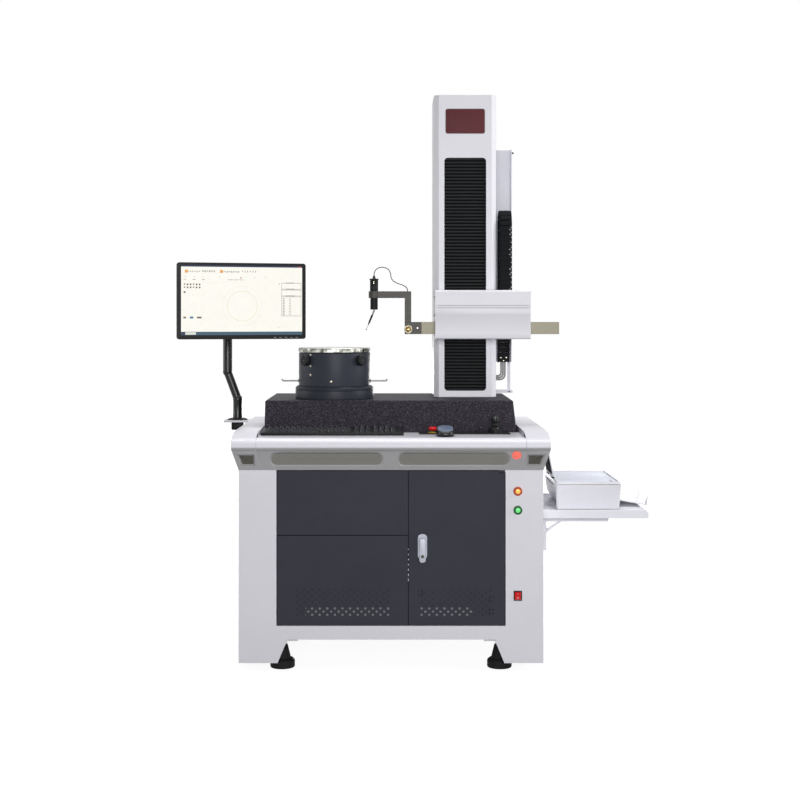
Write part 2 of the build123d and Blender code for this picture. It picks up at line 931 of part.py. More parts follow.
def granite_base():
    """The granite slab, its ends leaning in towards the top."""
    left, right = -granite_half + granite_left_taper, granite_half - granite_right_taper
    outline = [(-granite_half, granite_z), (granite_half, granite_z),
               (right, granite_top), (left, granite_top)]
    return along_y(outline, (granite_front, granite_back))


def table_base():
    """The fixed ring under the rotary table, with a groove, a shoulder and the bore for the spindle."""
    groove_z = shoulder_z - groove_drop - groove_width
    steps = [(granite_top, table_base_radius), (groove_z, table_base_radius),
             (groove_z + groove_width / 2, table_base_radius - groove_depth),
             (groove_z + groove_width, table_base_radius), (shoulder_z, table_base_radius),
             (shoulder_z + table_base_chamfer, housing_radius)]
    body = turned(steps, table_sides)
    body -= bore((housing_z - spindle_length - seat, housing_z), spindle_radius, sides=table_sides)
    return Pos(table_x, table_y, 0) * body


def knob_axis(side):
    """The outward direction of a centring knob, -1 for the left one and 1 for the right one."""
    return Vector(side * sin(pi / 4), -cos(pi / 4), 0)


def knob_plane(side, reach):
    """The plane across a centring knob's axis, a reach away from the table's middle."""
    centre = Vector(table_x, table_y, knob_z)
    return Plane(origin=centre + knob_axis(side) * reach, z_dir=knob_axis(side))


def table_housing():
    """The turning housing with the cross slide's recess, its spindle, and holes for knobs and levers."""
    recess = housing_radius - housing_wall
    body = prism((housing_z, housing_top), housing_radius, table_sides)
    body -= prism((recess_z, housing_top + 1), recess, table_sides)
    body += prism((housing_z - spindle_length, housing_z + 1), spindle_radius, table_sides)
    body = Pos(table_x, table_y, 0) * body
    for side in (-1, 1):
        hole = bore((-2, housing_wall + 2), knob_spindle_radius)
        body -= knob_plane(side, recess) * hole
        inner = table_x + side * (housing_radius - lever_seat)
        outer = table_x + side * (housing_radius + 1)
        body -= rod((inner, table_y, lever_z), (outer, table_y, lever_z), lever_radius + seat / 3, tube_sides)
    return body


def table_levers():
    """The two thin levers of the table, each with an upturned tip."""
    levers = []
    for side in (-1, 1):
        inner = table_x + side * (housing_radius - lever_seat)
        outer = table_x + side * (lever_reach - lever_radius)
        bar = rod((inner, table_y, lever_z), (outer, table_y, lever_z), lever_radius, tube_sides)
        tip = (outer, table_y, lever_z + lever_tip)
        levers.append(bar + rod((outer, table_y, lever_z - lever_radius), tip, lever_radius, tube_sides))
    return levers


def cross_slide():
    """The slide between the housing and the work table."""
    return Pos(table_x, table_y, 0) * prism((recess_z + seat, housing_top), cross_slide_radius, table_sides)


def work_table():
    """The ground steel plate that carries the workpiece."""
    steps = [(plate_z, plate_radius), (plate_top - plate_chamfer, plate_radius),
             (plate_top, plate_radius - plate_chamfer)]
    return Pos(table_x, table_y, 0) * turned(steps, table_sides)


def centring_knob(side):
    """A centring knob with its spindle, which ends just short of the cross slide."""
    start = cross_slide_radius + centring_travel + 1
    face = housing_radius + knob_stand - start
    end = face + knob_thickness
    steps = [(0, knob_spindle_radius), (face, knob_spindle_radius), (face, knob_radius),
             (end - 2, knob_radius), (end, knob_radius - 2)]
    return knob_plane(side, start) * turned(steps)


def rounded_window(width, height, radius):
    """A rectangle with rounded corners, each corner a few flats, around the origin."""
    outline = []
    for quarter, (side_x, side_y) in enumerate(((1, 1), (-1, 1), (-1, -1), (1, -1))):
        for i in range(corner_steps + 1):
            angle = pi / 2 * (quarter + i / corner_steps)
            outline.append((
                side_x * (width / 2 - radius) + radius * cos(angle),
                side_y * (height / 2 - radius) + radius * sin(angle),
            ))
    return Polygon(*outline, align=None)


def chamfered_section(width, depth, size):
    """A rectangle with its corners cut off."""
    return chamfer(Rectangle(width, depth).vertices(), size)


def column_housing():
    """The tall sheet cover of the column, with the window for the bellows and the one for the display."""
    centre_y = (column_front + column_back) / 2
    outer = chamfered_section(column_width, column_depth, column_chamfer)
    inner_width, inner_depth = column_width - 2 * column_wall, column_depth - 2 * column_wall
    inner = chamfered_section(inner_width, inner_depth, column_chamfer - column_wall / 2)
    body = Pos(column_x, centre_y, granite_top) * extrude(outer, column_height)
    body -= Pos(column_x, centre_y, granite_top - 1) * extrude(inner, column_height - column_wall + 1)
    window = rounded_window(window_width, window_length, window_corner)
    window = Pos(column_x, (window_z + window_top) / 2) * window
    display = rounded_window(display_width + 2 * seat, display_height + 2 * seat, display_corner)
    display = Pos(column_x, display_top - display_height / 2) * display
    behind = Plane.XZ.offset(-column_front - column_wall - 1)
    for opening in (window, display):
        body -= extrude(behind * opening, column_wall + 2, dir=(0, -1, 0))
    cable_z = chain_bottom_z - end_cable_drop
    margin = end_cable_radius + cable_slot_margin
    return body - block(
        (column_right - column_wall - 1, column_right + 1),
        (chain_rear_y - margin, chain_rear_y + margin),
        (cable_z - 2 * end_cable_step - margin, cable_z + margin),
    )


def display_window():
    """The dark red window near the column's top, held by a flange behind the sheet."""
    glass = rounded_window(display_width, display_height, display_corner)
    glass = Pos(column_x, display_top - display_height / 2) * glass
    flange = Pos(column_x, display_top - display_height / 2) * Rectangle(
        display_width + 2 * display_flange, display_height + 2 * display_flange
    )
    back = column_front + column_wall
    pane = extrude(Plane.XZ.offset(-back) * glass, column_wall, dir=(0, -1, 0))
    return pane + extrude(Plane.XZ.offset(-back - display_sheet) * flange, display_sheet, dir=(0, -1, 0))


def guide_column():
    """The straight guide that the carriage runs on, inside the column."""
    return block(
        (column_x - guide_width / 2, column_x + guide_width / 2),
        (guide_front, guide_front + guide_depth),
        (granite_top, column_top - guide_top_gap),
    )


def bellows(low, high):
    """A pleated cover between two heights, one closed zigzag sheet as wide as the window and its margins."""
    pleats = round((high - low) / pleat_pitch)
    pitch = (high - low) / pleats
    front, back = [(bellows_y, low)], [(bellows_y + bellows_sheet, low)]
    for i in range(pleats):
        middle, end = low + (i + 0.5) * pitch, low + (i + 1) * pitch
        front += [(bellows_y + pleat_depth, middle), (bellows_y, end)]
        back += [(bellows_y + pleat_depth + bellows_sheet, middle), (bellows_y + bellows_sheet, end)]
    half = window_width / 2 + bellows_margin
    return along_x(front + back[::-1], (column_x - half, column_x + half))


def upper_bellows():
    """The bellows from the carriage up to above the window."""
    return bellows(saddle_top + seat, window_top + bellows_margin)


def lower_bellows():
    """The bellows from below the window up to the carriage."""
    return bellows(window_z - bellows_margin, saddle_bottom - seat)


def cover_section():
    """The side outline of the carriage cover: rounded edges, two grooves and a waist."""
    groove_low, groove_high = [cover_z + z for z in cover_groove_z]
    waist = cover_z + cover_waist_z
    points = [(cover_back, cover_z), (cover_back, cover_top), (cover_front + cover_edge, cover_top),
              (cover_front, cover_top - cover_edge)]
    deep = cover_front + cover_groove_depth
    for z in (groove_high, groove_low):
        top = z + cover_groove_width
        points += [(cover_front, top), (deep, top), (deep, z), (cover_front, z)]
    points += [(cover_front, waist + cover_waist_rise), (cover_front + cover_waist_depth, waist),
               (cover_front, waist - cover_waist_fall),
               (cover_front + cover_edge / 3, cover_z + cover_edge / 2), (cover_front + cover_edge, cover_z)]
    return points


def carriage_cover():
    """The sheet cover of the carriage, open at the back, with a slot in each end for the arm."""
    body = along_x(cover_section(), (cover_left, cover_right))
    body -= block(
        (cover_left + cover_wall, cover_right - cover_wall),
        (cover_front + cover_waist_depth + cover_wall, cover_back + 1),
        (cover_z + cover_wall, cover_top - cover_wall),
    )
    body -= block(
        (cover_left - 1, cover_right + 1),
        (arm_front - 2, arm_front + arm_thickness + 2),
        (arm_bottom - 2, arm_top + 2),
    )
    return body


def carriage_saddle():
    """The carriage itself: a block on the guide, a plate in the cover's back, and the arm's guide."""
    body = block(
        (column_x - saddle_width / 2, column_x + saddle_width / 2),
        (cover_back - 1, guide_front - carriage_fit),
        (saddle_bottom, saddle_top),
    )
    plate_left = cover_left + cover_wall + carriage_fit
    plate_right = cover_right - cover_wall - carriage_fit
    plate_z = (cover_z + cover_wall + carriage_fit, cover_top - cover_wall - carriage_fit)
    body += block((plate_left, plate_right), (cover_back - saddle_plate, cover_back), plate_z)
    middle = (plate_left + plate_right) / 2
    body += block(
        (middle - guide_block_width / 2, middle + guide_block_width / 2),
        (arm_front - guide_block_wall, cover_back - saddle_plate + 1),
        (arm_bottom - guide_block_wall, arm_top + guide_block_wall),
    )
    body -= block(
        (plate_left - 1, plate_right + 1),
        (arm_front - carriage_fit, arm_front + arm_thickness + carriage_fit),
        (arm_bottom - carriage_fit, arm_top + carriage_fit),
    )
    return body


def measuring_arm():
    """The straight bar that slides through the carriage."""
    y = (arm_front, arm_front + arm_thickness)
    return block((arm_left, arm_left + arm_length), y, (arm_bottom, arm_top))


def arm_end_block():
    """The block at the arm's left end that clamps the probe bracket."""
    return block((block_left, arm_left), (arm_front, arm_front + arm_thickness), (arm_bottom, arm_top))


def probe_bracket():
    """The bent bracket: up from the end block, then left to the ring that holds the probe."""
    y = (arm_y - bracket_thickness / 2, arm_y + bracket_thickness / 2)
    body = along_y(
        [(block_left, arm_top), (block_left + riser_width, arm_top), (block_left + riser_width, bracket_top),
         (bracket_left, bracket_top), (bracket_left, bracket_z), (block_left, bracket_z)],
        y,
    )
    place = Pos(probe_x, arm_y, 0)
    body += place * prism((bracket_z, bracket_top), probe_radius + bracket_ring, probe_sides)
    hole = prism((bracket_z - 1, bracket_top + 1), probe_radius + running_clearance, probe_sides)
    return body - place * hole


def probe_body():
    """The probe: a thinner part in the bracket, a thicker head, a flange and the cable gland."""
    shoulder = bracket_top + probe_shoulder_gap
    head_top = shoulder + probe_above
    gland_z = head_top + probe_flange
    steps = [(probe_bottom, probe_radius), (shoulder, probe_radius), (shoulder, probe_top_radius),
             (head_top, probe_top_radius), (head_top, probe_flange_radius), (gland_z, probe_flange_radius),
             (gland_z, probe_gland_radius + 2), (gland_z + probe_gland, probe_gland_radius)]
    return Pos(probe_x, arm_y, 0) * turned(steps, probe_sides)


def gland_top():
    """The height at which the cable leaves the probe."""
    return bracket_top + probe_shoulder_gap + probe_above + probe_flange + probe_gland


def cable_path(points, share):
    """Straight runs joined by tangent arcs, each arc using up a share of its shorter run."""
    points = [Vector(*p) for p in points]
    runs = [b - a for a, b in zip(points, points[1:])]
    radii = []
    for before, after in zip(runs, runs[1:]):
        turn = radians(before.get_angle(after))
        radii.append(share * min(before.length, after.length) / tan(turn / 2))
    return FilletPolyline(*points, radius=radii)


def strip_along(path, radius):
    """A cable of square section whose middle line lies in a plane across Y."""
    stations = []
    for edge in path.edges():
        pieces = bend_steps if edge.geom_type == GeomType.CIRCLE else 1
        stations += [(edge @ (i / pieces), edge % (i / pieces)) for i in range(pieces)]
    stations.append((path @ 1, path % 1))
    left = [(at.X - radius * along.Z, at.Z + radius * along.X) for at, along in stations]
    right = [(at.X + radius * along.Z, at.Z - radius * along.X) for at, along in stations]
    middle = (path @ 0).Y
    return along_y(left + right[::-1], (middle - radius, middle + radius))


def probe_cable():
    """The thin cable that loops from the probe's gland to the bracket's corner."""
    top = gland_top()
    points = [(probe_x + x, arm_y, top + z) for x, z in probe_cable_route]
    return strip_along(cable_path(points, probe_cable_share), probe_cable_radius)


def stylus_pivot():
    """The middle of the stylus's hub."""
    return Vector(probe_x, arm_y, probe_bottom - stylus_hub_radius - seat)


def stylus():
    """The leaning stylus with its hub, thinner towards the tip."""
    pivot = stylus_pivot()
    lean = radians(stylus_lean)
    direction = Vector(-sin(lean), 0, -cos(lean))
    half = Vector(0, stylus_hub_length / 2, 0)
    body = rod(pivot - half, pivot + half, stylus_hub_radius, small_sides)
    steps = [(0, stylus_radius), (stylus_taper_start, stylus_radius), (stylus_length, stylus_tip_radius)]
    return body + Plane(origin=pivot, z_dir=direction) * turned(steps, tube_sides)


def clamp_knob():
    """The knurled knob on the end block's front."""
    place = (block_left + clamp_knob_inset, arm_front - seat, (arm_bottom + arm_top) / 2 - clamp_knob_drop)
    boss_z = clamp_knob_thickness
    steps = [(0, clamp_knob_radius), (boss_z, clamp_knob_radius), (boss_z, clamp_knob_boss),
             (boss_z + clamp_knob_boss_height, clamp_knob_boss - 1)]
    return Plane(origin=place, z_dir=(0, -1, 0)) * turned(steps)


def chain_path(distance):
    """The place and the outward side of the chain's middle line, a distance up from its fixed end."""
    rear = chain_bend_z - chain_bottom_z
    bend = pi * chain_bend_radius
    if distance <= rear:
        return (chain_rear_y, chain_bottom_z + distance), (1.0, 0.0)
    if distance <= rear + bend:
        angle = (distance - rear) / chain_bend_radius
        side = (cos(angle), sin(angle))
        middle = (chain_front_y + chain_rear_y) / 2
        return (middle + chain_bend_radius * side[0], chain_bend_z + chain_bend_radius * side[1]), side
    return (chain_front_y, chain_bend_z - (distance - rear - bend)), (-1.0, 0.0)


def drag_chain():
    """The chain of links, up from its fixed end, round the bend and down to the carriage."""
    length = chain_bend_z - chain_bottom_z + pi * chain_bend_radius + chain_bend_z - chain_end
    links = round(length / chain_pitch)
    pitch = length / links
    outer, inner = [], []
    for i in range(links):
        stations = [(i * pitch, chain_notch), (i * pitch + chain_notch, 0)]
        if i == links - 1:
            stations.append((length, 0))
        for distance, notch in stations:
            (y, z), side = chain_path(distance)
            reach = chain_height / 2 - notch
            outer.append((y + side[0] * reach, z + side[1] * reach))
            inner.append((y - side[0] * reach, z - side[1] * reach))
    body = along_x(outer + inner[::-1], (chain_left, chain_right))
    bracket = block(
        (chain_left, chain_right),
        (cover_back + seat, chain_front_y),
        (chain_end, chain_end + chain_pitch),
    )
    return body + bracket


def chain_channel():
    """The channel behind the chain, bolted to the column, and the bar and foot below it."""
    bar_right = chain_right + 1
    web_right = bar_right + channel_sheet
    z = (chain_bottom_z, channel_top)
    web = block((column_right, web_right), (channel_y, channel_y + channel_sheet), z)
    web += block((column_right, column_right + channel_sheet), (channel_y, channel_y + channel_flange), z)
    web += block((bar_right, web_right), (channel_y - channel_flange, channel_y + channel_sheet), z)
    foot_z = granite_top + channel_foot_rise
    bar = block(
        (bar_right - channel_bar_width, bar_right),
        (channel_y, channel_y + channel_sheet),
        (foot_z, chain_bottom_z),
    )
    foot = block(
        (column_right, column_right + channel_foot_length),
        (channel_y - channel_flange, channel_y + channel_flange),
        (foot_z, foot_z + channel_foot_height),
    )
    return web + bar + foot


def chain_cables():
    """Three cables from the chain's fixed end, bending into the slot in the column's side."""
    cables = []
    for i in range(3):
        x = column_right + end_cable_first + i * end_cable_pitch
        z = chain_bottom_z - end_cable_drop - i * end_cable_step
        inside = column_right - column_wall
        points = [(x, chain_rear_y, chain_bottom_z), (x, chain_rear_y, z), (inside, chain_rear_y, z)]
        cables.append(strip_along(cable_path(points, end_cable_share), end_cable_radius))
    return cables


def monitor_clamp():
    """The white plate on the end cap, and the black disc and clamp that hold the monitor's post."""
    half = bracket_plate_depth / 2
    y = (post_y - half, post_y + half)
    side = -cap_outer
    under_z = cap_top - bracket_plate_thickness
    plate = block((side - bracket_plate_reach, side), y, (under_z, cap_top))
    plate += block((side - bracket_flange_thickness, side), y, (cap_top - bracket_flange_drop, cap_top))
    base = prism((cap_top, post_base), post_disc_radius)
    size = under_clamp_size / 2
    under = block(
        (post_x - size, post_x + size), (post_y - size, post_y + size),
        (under_z - under_clamp_height, under_z),
    )
    return [plate, Pos(post_x, post_y, 0) * base, under]


def monitor_arm_lower():
    """The bent tube that stands on the clamp."""
    points = [
        (post_x, post_y, post_base + seat),
        (post_x, post_y, post_base + post_bend_z),
        (post_x + post_shift, post_y, post_base + post_second_bend_z),
        (post_x + post_shift, post_y, post_top),
    ]
    path = FilletPolyline(*points, radius=tube_bend)
    section = Plane(origin=path @ 0, z_dir=path % 0) * RegularPolygon(tube_radius, tube_sides)
    return sweep(section, path=path)


def monitor_arm_upper():
    """The short arm from the post to the monitor, with a hub at one end and a yoke at the other."""
    hub = Vector(post_x + post_shift, post_y, post_top + seat)
    body = Pos(*hub) * prism((0, hub_height), hub_radius)
    start = hub + Vector(0, 0, hub_height / 2)
    body += rod(start, Vector(yoke_centre.X, yoke_centre.Y, start.Z), link_radius, tube_sides)
    end = across * (yoke_length / 2)
    body += rod(yoke_centre - end, yoke_centre + end, yoke_radius, small_sides)
    stub = across * (yoke_length / 2 + ear_thickness)
    return body + rod(yoke_centre - stub, yoke_centre + stub, stub_radius, small_sides)


def monitor_plane():
    """The monitor's own plane: X to its right, Y to its back, at its middle."""
    return Plane(origin=monitor_centre, x_dir=across, z_dir=(0, 0, 1))


def monitor_housing():
    """The monitor's housing with its bulge, the mounting plate and the two ears of the tilt hinge."""
    back = monitor_thickness / 2
    half_x, half_z = monitor_width / 2, monitor_height / 2
    body = block((-half_x, half_x), (-back, back), (-half_z, half_z))
    body -= block(
        (-screen_width / 2, screen_width / 2),
        (-back - 1, -back + screen_thickness),
        (-screen_height / 2 + screen_rise, screen_height / 2 + screen_rise),
    )
    half_x, half_z = monitor_bulge_width / 2, monitor_bulge_height / 2
    body += block((-half_x, half_x), (back - 1, back + monitor_bulge), (-half_z, half_z))
    plate_back = back + monitor_bulge + vesa_thickness
    half = vesa_plate / 2
    plate = block((-half, half), (back + monitor_bulge, plate_back), (-half, half))
    for side in (-1, 1):
        inner = yoke_length / 2 + seat
        x = sorted((side * inner, side * (inner + ear_thickness)))
        ear = block(x, (plate_back - 1, yoke_back + ear_reach), (-ear_half_height, ear_half_height))
        hole = bore((x[0] - 1, x[1] + 1), stub_radius)
        plate += ear - Plane(origin=(0, yoke_back, 0), z_dir=(1, 0, 0)) * hole
    return [monitor_plane().location * body, monitor_plane().location * plate]


def monitor_screen():
    """The screen's flat pane, set into the housing's front."""
    front = -monitor_thickness / 2
    pane = block(
        (-screen_width / 2, screen_width / 2),
        (front, front + screen_thickness),
        (-screen_height / 2 + screen_rise, screen_height / 2 + screen_rise),
    )
    return monitor_plane().location * pane


def shelf_tray():
    """The shallow tray of the shelf, its lip lower at the right end."""
    back = shelf_front + shelf_depth
    body = block((half_width, shelf_right), (shelf_front, back), (shelf_z, shelf_z + shelf_lip))
    inside_x = (half_width, shelf_right - shelf_edge)
    inside_y = (shelf_front + shelf_edge, back - shelf_edge)
    body -= block(inside_x, inside_y, (shelf_top, shelf_z + shelf_lip + 1))
    body -= block(inside_x, inside_y, (shelf_z - 1, shelf_floor_z))
    body -= block(
        (shelf_right - 2 * shelf_edge, shelf_right + 1), (shelf_front - 1, back + 1),
        (shelf_z + shelf_end_lip, shelf_z + shelf_lip + 1),
    )
    return body


def shelf_brackets():
    """Two folding brackets under the shelf, each a leg, an arm and a short strut."""
    brackets = []
    foot = shelf_z - bracket_leg_drop
    arm_low = shelf_z - bracket_arm_drop
    for y in (shelf_front + bracket_inset, shelf_front + shelf_depth - bracket_inset):
        depth = (y - bracket_depth / 2, y + bracket_depth / 2)
        left = half_width
        body = block((left, left + bracket_leg_width), depth, (foot, arm_low + 1))
        body += block((left, left + bracket_arm_length), depth, (arm_low, shelf_floor_z))
        leg_edge = left + bracket_leg_width
        body += along_y(
            [(leg_edge - 2, arm_low - strut_drop), (leg_edge - 2, arm_low - strut_drop + strut_width * 1.5),
             (leg_edge + strut_reach - strut_width, arm_low + 2), (leg_edge + strut_reach, arm_low + 2)],
            (y - bracket_depth / 6, y + bracket_depth / 6),
        )
        brackets.append(body)
    return brackets


def printer_body():
    """The printer's housing, rounded at its lower left, with a recessed panel in its top."""
    y = (printer_front, printer_front + printer_depth)
    body = block((printer_x, printer_right), y, (shelf_top, printer_top))
    corner = body.edges().filter_by(Axis.Y).sort_by(Axis.X)[:2].sort_by(Axis.Z)[0]
    body = fillet(corner, printer_corner)
    inset = printer_panel_inset
    return body - block(
        (printer_x + 2 * inset, printer_right - inset), (y[0] + inset, y[1] - inset),
        (printer_top - printer_panel_depth, printer_top + 1),
    )


def paper_support():
    """The leaning paper support over the printer's left edge."""
    middle = printer_front + printer_depth / 2
    lean = radians(support_lean)
    along = Vector(-sin(lean), 0, cos(lean))
    side = Vector(cos(lean), 0, sin(lean)) * (support_thickness / 2)
    low = Vector(support_x, 0, support_z)
    high = low + along * support_length
    points = [low - side, low + side, high + side, high - side]
    outline = [(p.X, p.Z) for p in points]
    plate = along_y(outline, (middle - support_depth / 2, middle + support_depth / 2))
    half = support_depth / 2
    ends = [(support_x, middle + side * half, support_z) for side in (-1, 1)]
    return plate + rod(*ends, support_rise - seat, small_sides)


def output_tray():
    """The paper tray that slopes out of the printer's right side, with two stops at its end."""
    middle = printer_front + printer_depth / 2
    fall = radians(tray_fall)
    along = Vector(cos(fall), 0, -sin(fall))
    up = Vector(sin(fall), 0, cos(fall))
    hinge = Vector(printer_right + tray_thickness + seat, 0, tray_z)
    start = hinge + up * (tray_thickness / 2)
    end = start + along * tray_length

    def slab(corners, y):
        return along_y([(p.X, p.Z) for p in corners], y)

    under = up * -tray_thickness
    half = Vector(0, tray_depth / 2, 0)
    body = slab([start + under, end + under, end, start], (middle - half.Y, middle + half.Y))
    centre = hinge + Vector(0, middle, 0)
    body += rod(centre - half, centre + half, tray_thickness, tube_sides)
    for side in (-1, 1):
        y = middle + side * (tray_depth / 2 - tray_stop_width)
        foot = end - along * tray_thickness
        tip = up * tray_stop_height
        body += slab(
            [foot + under, end + under, end + tip, foot + tip],
            (y - tray_stop_width / 2, y + tray_stop_width / 2),
        )
    return body


def keyboard():
    """The keyboard: a wedge with its rows of keys as raised strips."""
    rear = granite_front - keyboard_gap
    front = rear - keyboard_depth
    low = deck_z + keyboard_front_height
    high = deck_z + keyboard_rear_height
    x = (keyboard_left, keyboard_right)
    body = along_x([(front, deck_z), (rear, deck_z), (rear, high), (front, low)], x)
    slope = (high - low) / keyboard_depth
    pitch = (keyboard_depth - 2 * key_height) / key_rows
    for row in range(key_rows):
        start = front + key_height + row * pitch + (pitch - key_row_width) / 2
        end = start + key_row_width
        z0, z1 = low + slope * (start - front), low + slope * (end - front)
        body += along_x(
            [(start, z0 - 1), (end, z1 - 1), (end - 2, z1 + key_height), (start + 2, z0 + key_height)],
            (x[0] + key_row_width, x[1] - key_row_width),
        )
    return body


def mouse():
    """The mouse: a rounded plan under a curved back."""
    rear = granite_front - mouse_gap
    front = rear - mouse_length
    profile = [(front, deck_z), (front, deck_z + mouse_front_height)]
    for i in range(1, mouse_steps):
        share = i / mouse_steps
        rise = (mouse_height - mouse_front_height) * sin(pi * share)
        profile.append((front + mouse_length * share, deck_z + mouse_front_height + rise))
    profile += [(rear, deck_z + mouse_rear_height), (rear, deck_z)]
    half = mouse_width / 2
    body = along_x(profile, (mouse_x - half, mouse_x + half))
    plan = Rectangle(mouse_width, mouse_length)
    plan = Pos(mouse_x, (front + rear) / 2, deck_z) * chamfer(plan.vertices(), mouse_corner / 2)
    return body & extrude(plan, mouse_height + 1)


def control_panel():
    """The control plate on the deck, with the joystick's collar."""
    y = (control_rear - control_depth, control_rear)
    body = block((control_left, control_left + control_width), y, (deck_z, control_top))
    inner = joystick_collar_radius - joystick_collar_wall
    collar_top = control_top + joystick_collar_height
    place = Pos(joystick_x, control_y, 0)
    body += place * prism((deck_z + 1, collar_top), joystick_collar_radius)
    return body - place * prism((deck_z - 1, collar_top + 1), inner)


def estop_base():
    """The yellow collar of the emergency stop."""
    top = control_top + estop_collar_height
    collar = ring((control_top, top), estop_collar_radius, estop_stem_radius + switch_clearance)
    return Pos(estop_x, control_y, 0) * collar


def estop_button():
    """The red mushroom button with its stem."""
    head = control_top + estop_head_rise
    top = head + estop_head_height
    steps = [(control_top + estop_seat, estop_stem_radius), (head, estop_stem_radius),
             (head, estop_radius - 2), (head + estop_edge, estop_radius),
             (top - estop_edge, estop_radius - 1), (top, estop_radius - 2 * estop_edge)]
    return Pos(estop_x, control_y, 0) * turned(steps)


def joystick_gimbal():
    """The ring of the joystick that tilts left and right."""
    half = gimbal_height / 2
    return Pos(joystick_x, control_y, pivot_z) * ring((-half, half), gimbal_outer, gimbal_inner)


def joystick():
    """The joystick: its ball in the gimbal, the stick and the knob."""
    hub = joystick_hub_radius
    knob = joystick_height - joystick_knob_height - joystick_pivot_rise
    top = joystick_height - joystick_pivot_rise
    edge = joystick_knob_edge
    steps = [(hub * sin(radians(a)), hub * cos(radians(a))) for a in joystick_hub_angles]
    steps += [(hub * sin(radians(joystick_hub_angles[-1])), joystick_stick_radius),
             (knob, joystick_stick_radius), (knob, joystick_knob_radius - edge),
             (knob + edge, joystick_knob_radius), (top - edge, joystick_knob_radius),
             (top, joystick_knob_radius - edge)]
    return Pos(joystick_x, control_y, pivot_z) * turned(steps)


def speed_knob():
    """The small round knob beside the joystick."""
    low = control_top + seat
    steps = [(low, speed_knob_radius), (low + speed_knob_height - 2, speed_knob_radius - 1),
             (low + speed_knob_height, speed_knob_radius - 2)]
    return Pos(speed_knob_x, control_y, 0) * turned(steps)


def lens(z):
    """The lens of a lit button, part of it inside the post."""
    depth = lens_seat + lens_stand
    dome = turned([(0, lens_radius), (depth - 2, lens_radius), (depth, lens_radius - 2)])
    return Plane(origin=(switch_x, front_y + lens_seat, z), z_dir=(0, -1, 0)) * dome


def switch_bezels():
    """The two round bezels of the lit buttons and the frame of the rocker switch."""
    pieces = []
    for z in (amber_z, green_z):
        bezel = ring((0, bezel_height), bezel_radius, lens_radius + switch_clearance)
        pieces.append(Plane(origin=(switch_x, front_y, z), z_dir=(0, -1, 0)) * bezel)
    half_x, half_z = rocker_frame_width / 2, rocker_frame_height / 2
    inner_x, inner_z = rocker_width / 2 + switch_clearance, rocker_height / 2 + 2 * switch_clearance
    frame = block(
        (switch_x - half_x, switch_x + half_x), (front_y - rocker_frame_stand, front_y),
        (rocker_z - half_z, rocker_z + half_z),
    )
    frame -= block(
        (switch_x - inner_x, switch_x + inner_x), (front_y - rocker_frame_stand - 1, front_y + 1),
        (rocker_z - inner_z, rocker_z + inner_z),
    )
    return pieces + [frame]


def rocker_switch():
    """The rocker, its face bent inwards at the pivot."""
    half = rocker_height / 2
    front = front_y - rocker_stand
    back = front_y + rocker_seat
    flank = front_y + rocker_flank
    outline = [(front, rocker_z - half), (front + rocker_bend, rocker_z), (front, rocker_z + half),
               (flank, rocker_z + half), (back, rocker_z + rocker_keel),
               (back, rocker_z - rocker_keel), (flank, rocker_z - half)]
    return along_x(outline, (switch_x - rocker_width / 2, switch_x + rocker_width / 2))


def computer_case():
    """The computer that stands on the cabinet's floor, at the left."""
    left = -half_width + side_wall + computer_left
    back = half_depth - rear_wall - computer_rear_gap
    y = (back - computer_depth, back)
    return block((left, left + computer_width), y, (floor_z, floor_z + computer_height))


def solids_of(shape):
    """Every solid in a shape or a list of shapes."""
    pieces = shape if isinstance(shape, list) else [shape]
    return [solid for piece in pieces for solid in piece.solids()]


nodes = {
    "cabinet_frame": cabinet_frame,
    "rear_panel": rear_panel,
    "upper_front_panel": upper_front_panel,
    "lower_front_panel": lower_front_panel,
    "levelling_feet": levelling_feet,
    "console_front": console_front,
    "console_ends": console_ends,
    "console_deck": console_deck,
    "control_panel": control_panel,
    "fascia_lamp": fascia_lamp,
    "granite_base": granite_base,
    "table_base": table_base,
    "column_housing": column_housing,
    "guide_column": guide_column,
    "display_window": display_window,
    "upper_bellows": upper_bellows,
    "lower_bellows": lower_bellows,
    "chain_channel": chain_channel,
    "drag_chain": drag_chain,
    "chain_cables": chain_cables,
    "monitor_clamp": monitor_clamp,
    "shelf_tray": shelf_tray,
    "shelf_brackets": shelf_brackets,
    "printer_body": printer_body,
    "keyboard": keyboard,
    "mouse": mouse,
    "switch_bezels": switch_bezels,
    "estop_base": estop_base,
    "computer_case": computer_case,
    "carriage_cover": carriage_cover,
    "carriage_saddle": carriage_saddle,
    "measuring_arm": measuring_arm,
    "arm_end_block": arm_end_block,
    "probe_bracket": probe_bracket,
    "probe_body": probe_body,
    "probe_cable": probe_cable,
    "stylus": stylus,
    "clamp_knob": clamp_knob,
    "door": door,
    "latch_body": latch_body,
    "latch_handle": latch_handle,
    "amber_button": lambda: lens(amber_z),
    "green_button": lambda: lens(green_z),
    "rocker_switch": rocker_switch,
    "estop_button": estop_button,
    "joystick_gimbal": joystick_gimbal,
    "joystick": joystick,
    "speed_knob": speed_knob,
    "table_housing": table_housing,
    "table_levers": table_levers,
    "cross_slide": cross_slide,
    "work_table": work_table,
    "centring_knob_left": lambda: centring_knob(-1),
    "centring_knob_right": lambda: centring_knob(1),
    "monitor_arm_lower": monitor_arm_lower,
    "monitor_arm_upper": monitor_arm_upper,
    "monitor_housing": monitor_housing,
    "monitor_screen": monitor_screen,
    "paper_support": paper_support,
    "output_tray": output_tray,
}

os.makedirs("parts", exist_ok=True)
for name, make in nodes.items():
    export_step(Compound(solids_of(make())), f"parts/{name}.step")
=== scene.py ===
from math import cos, pi, radians, sin

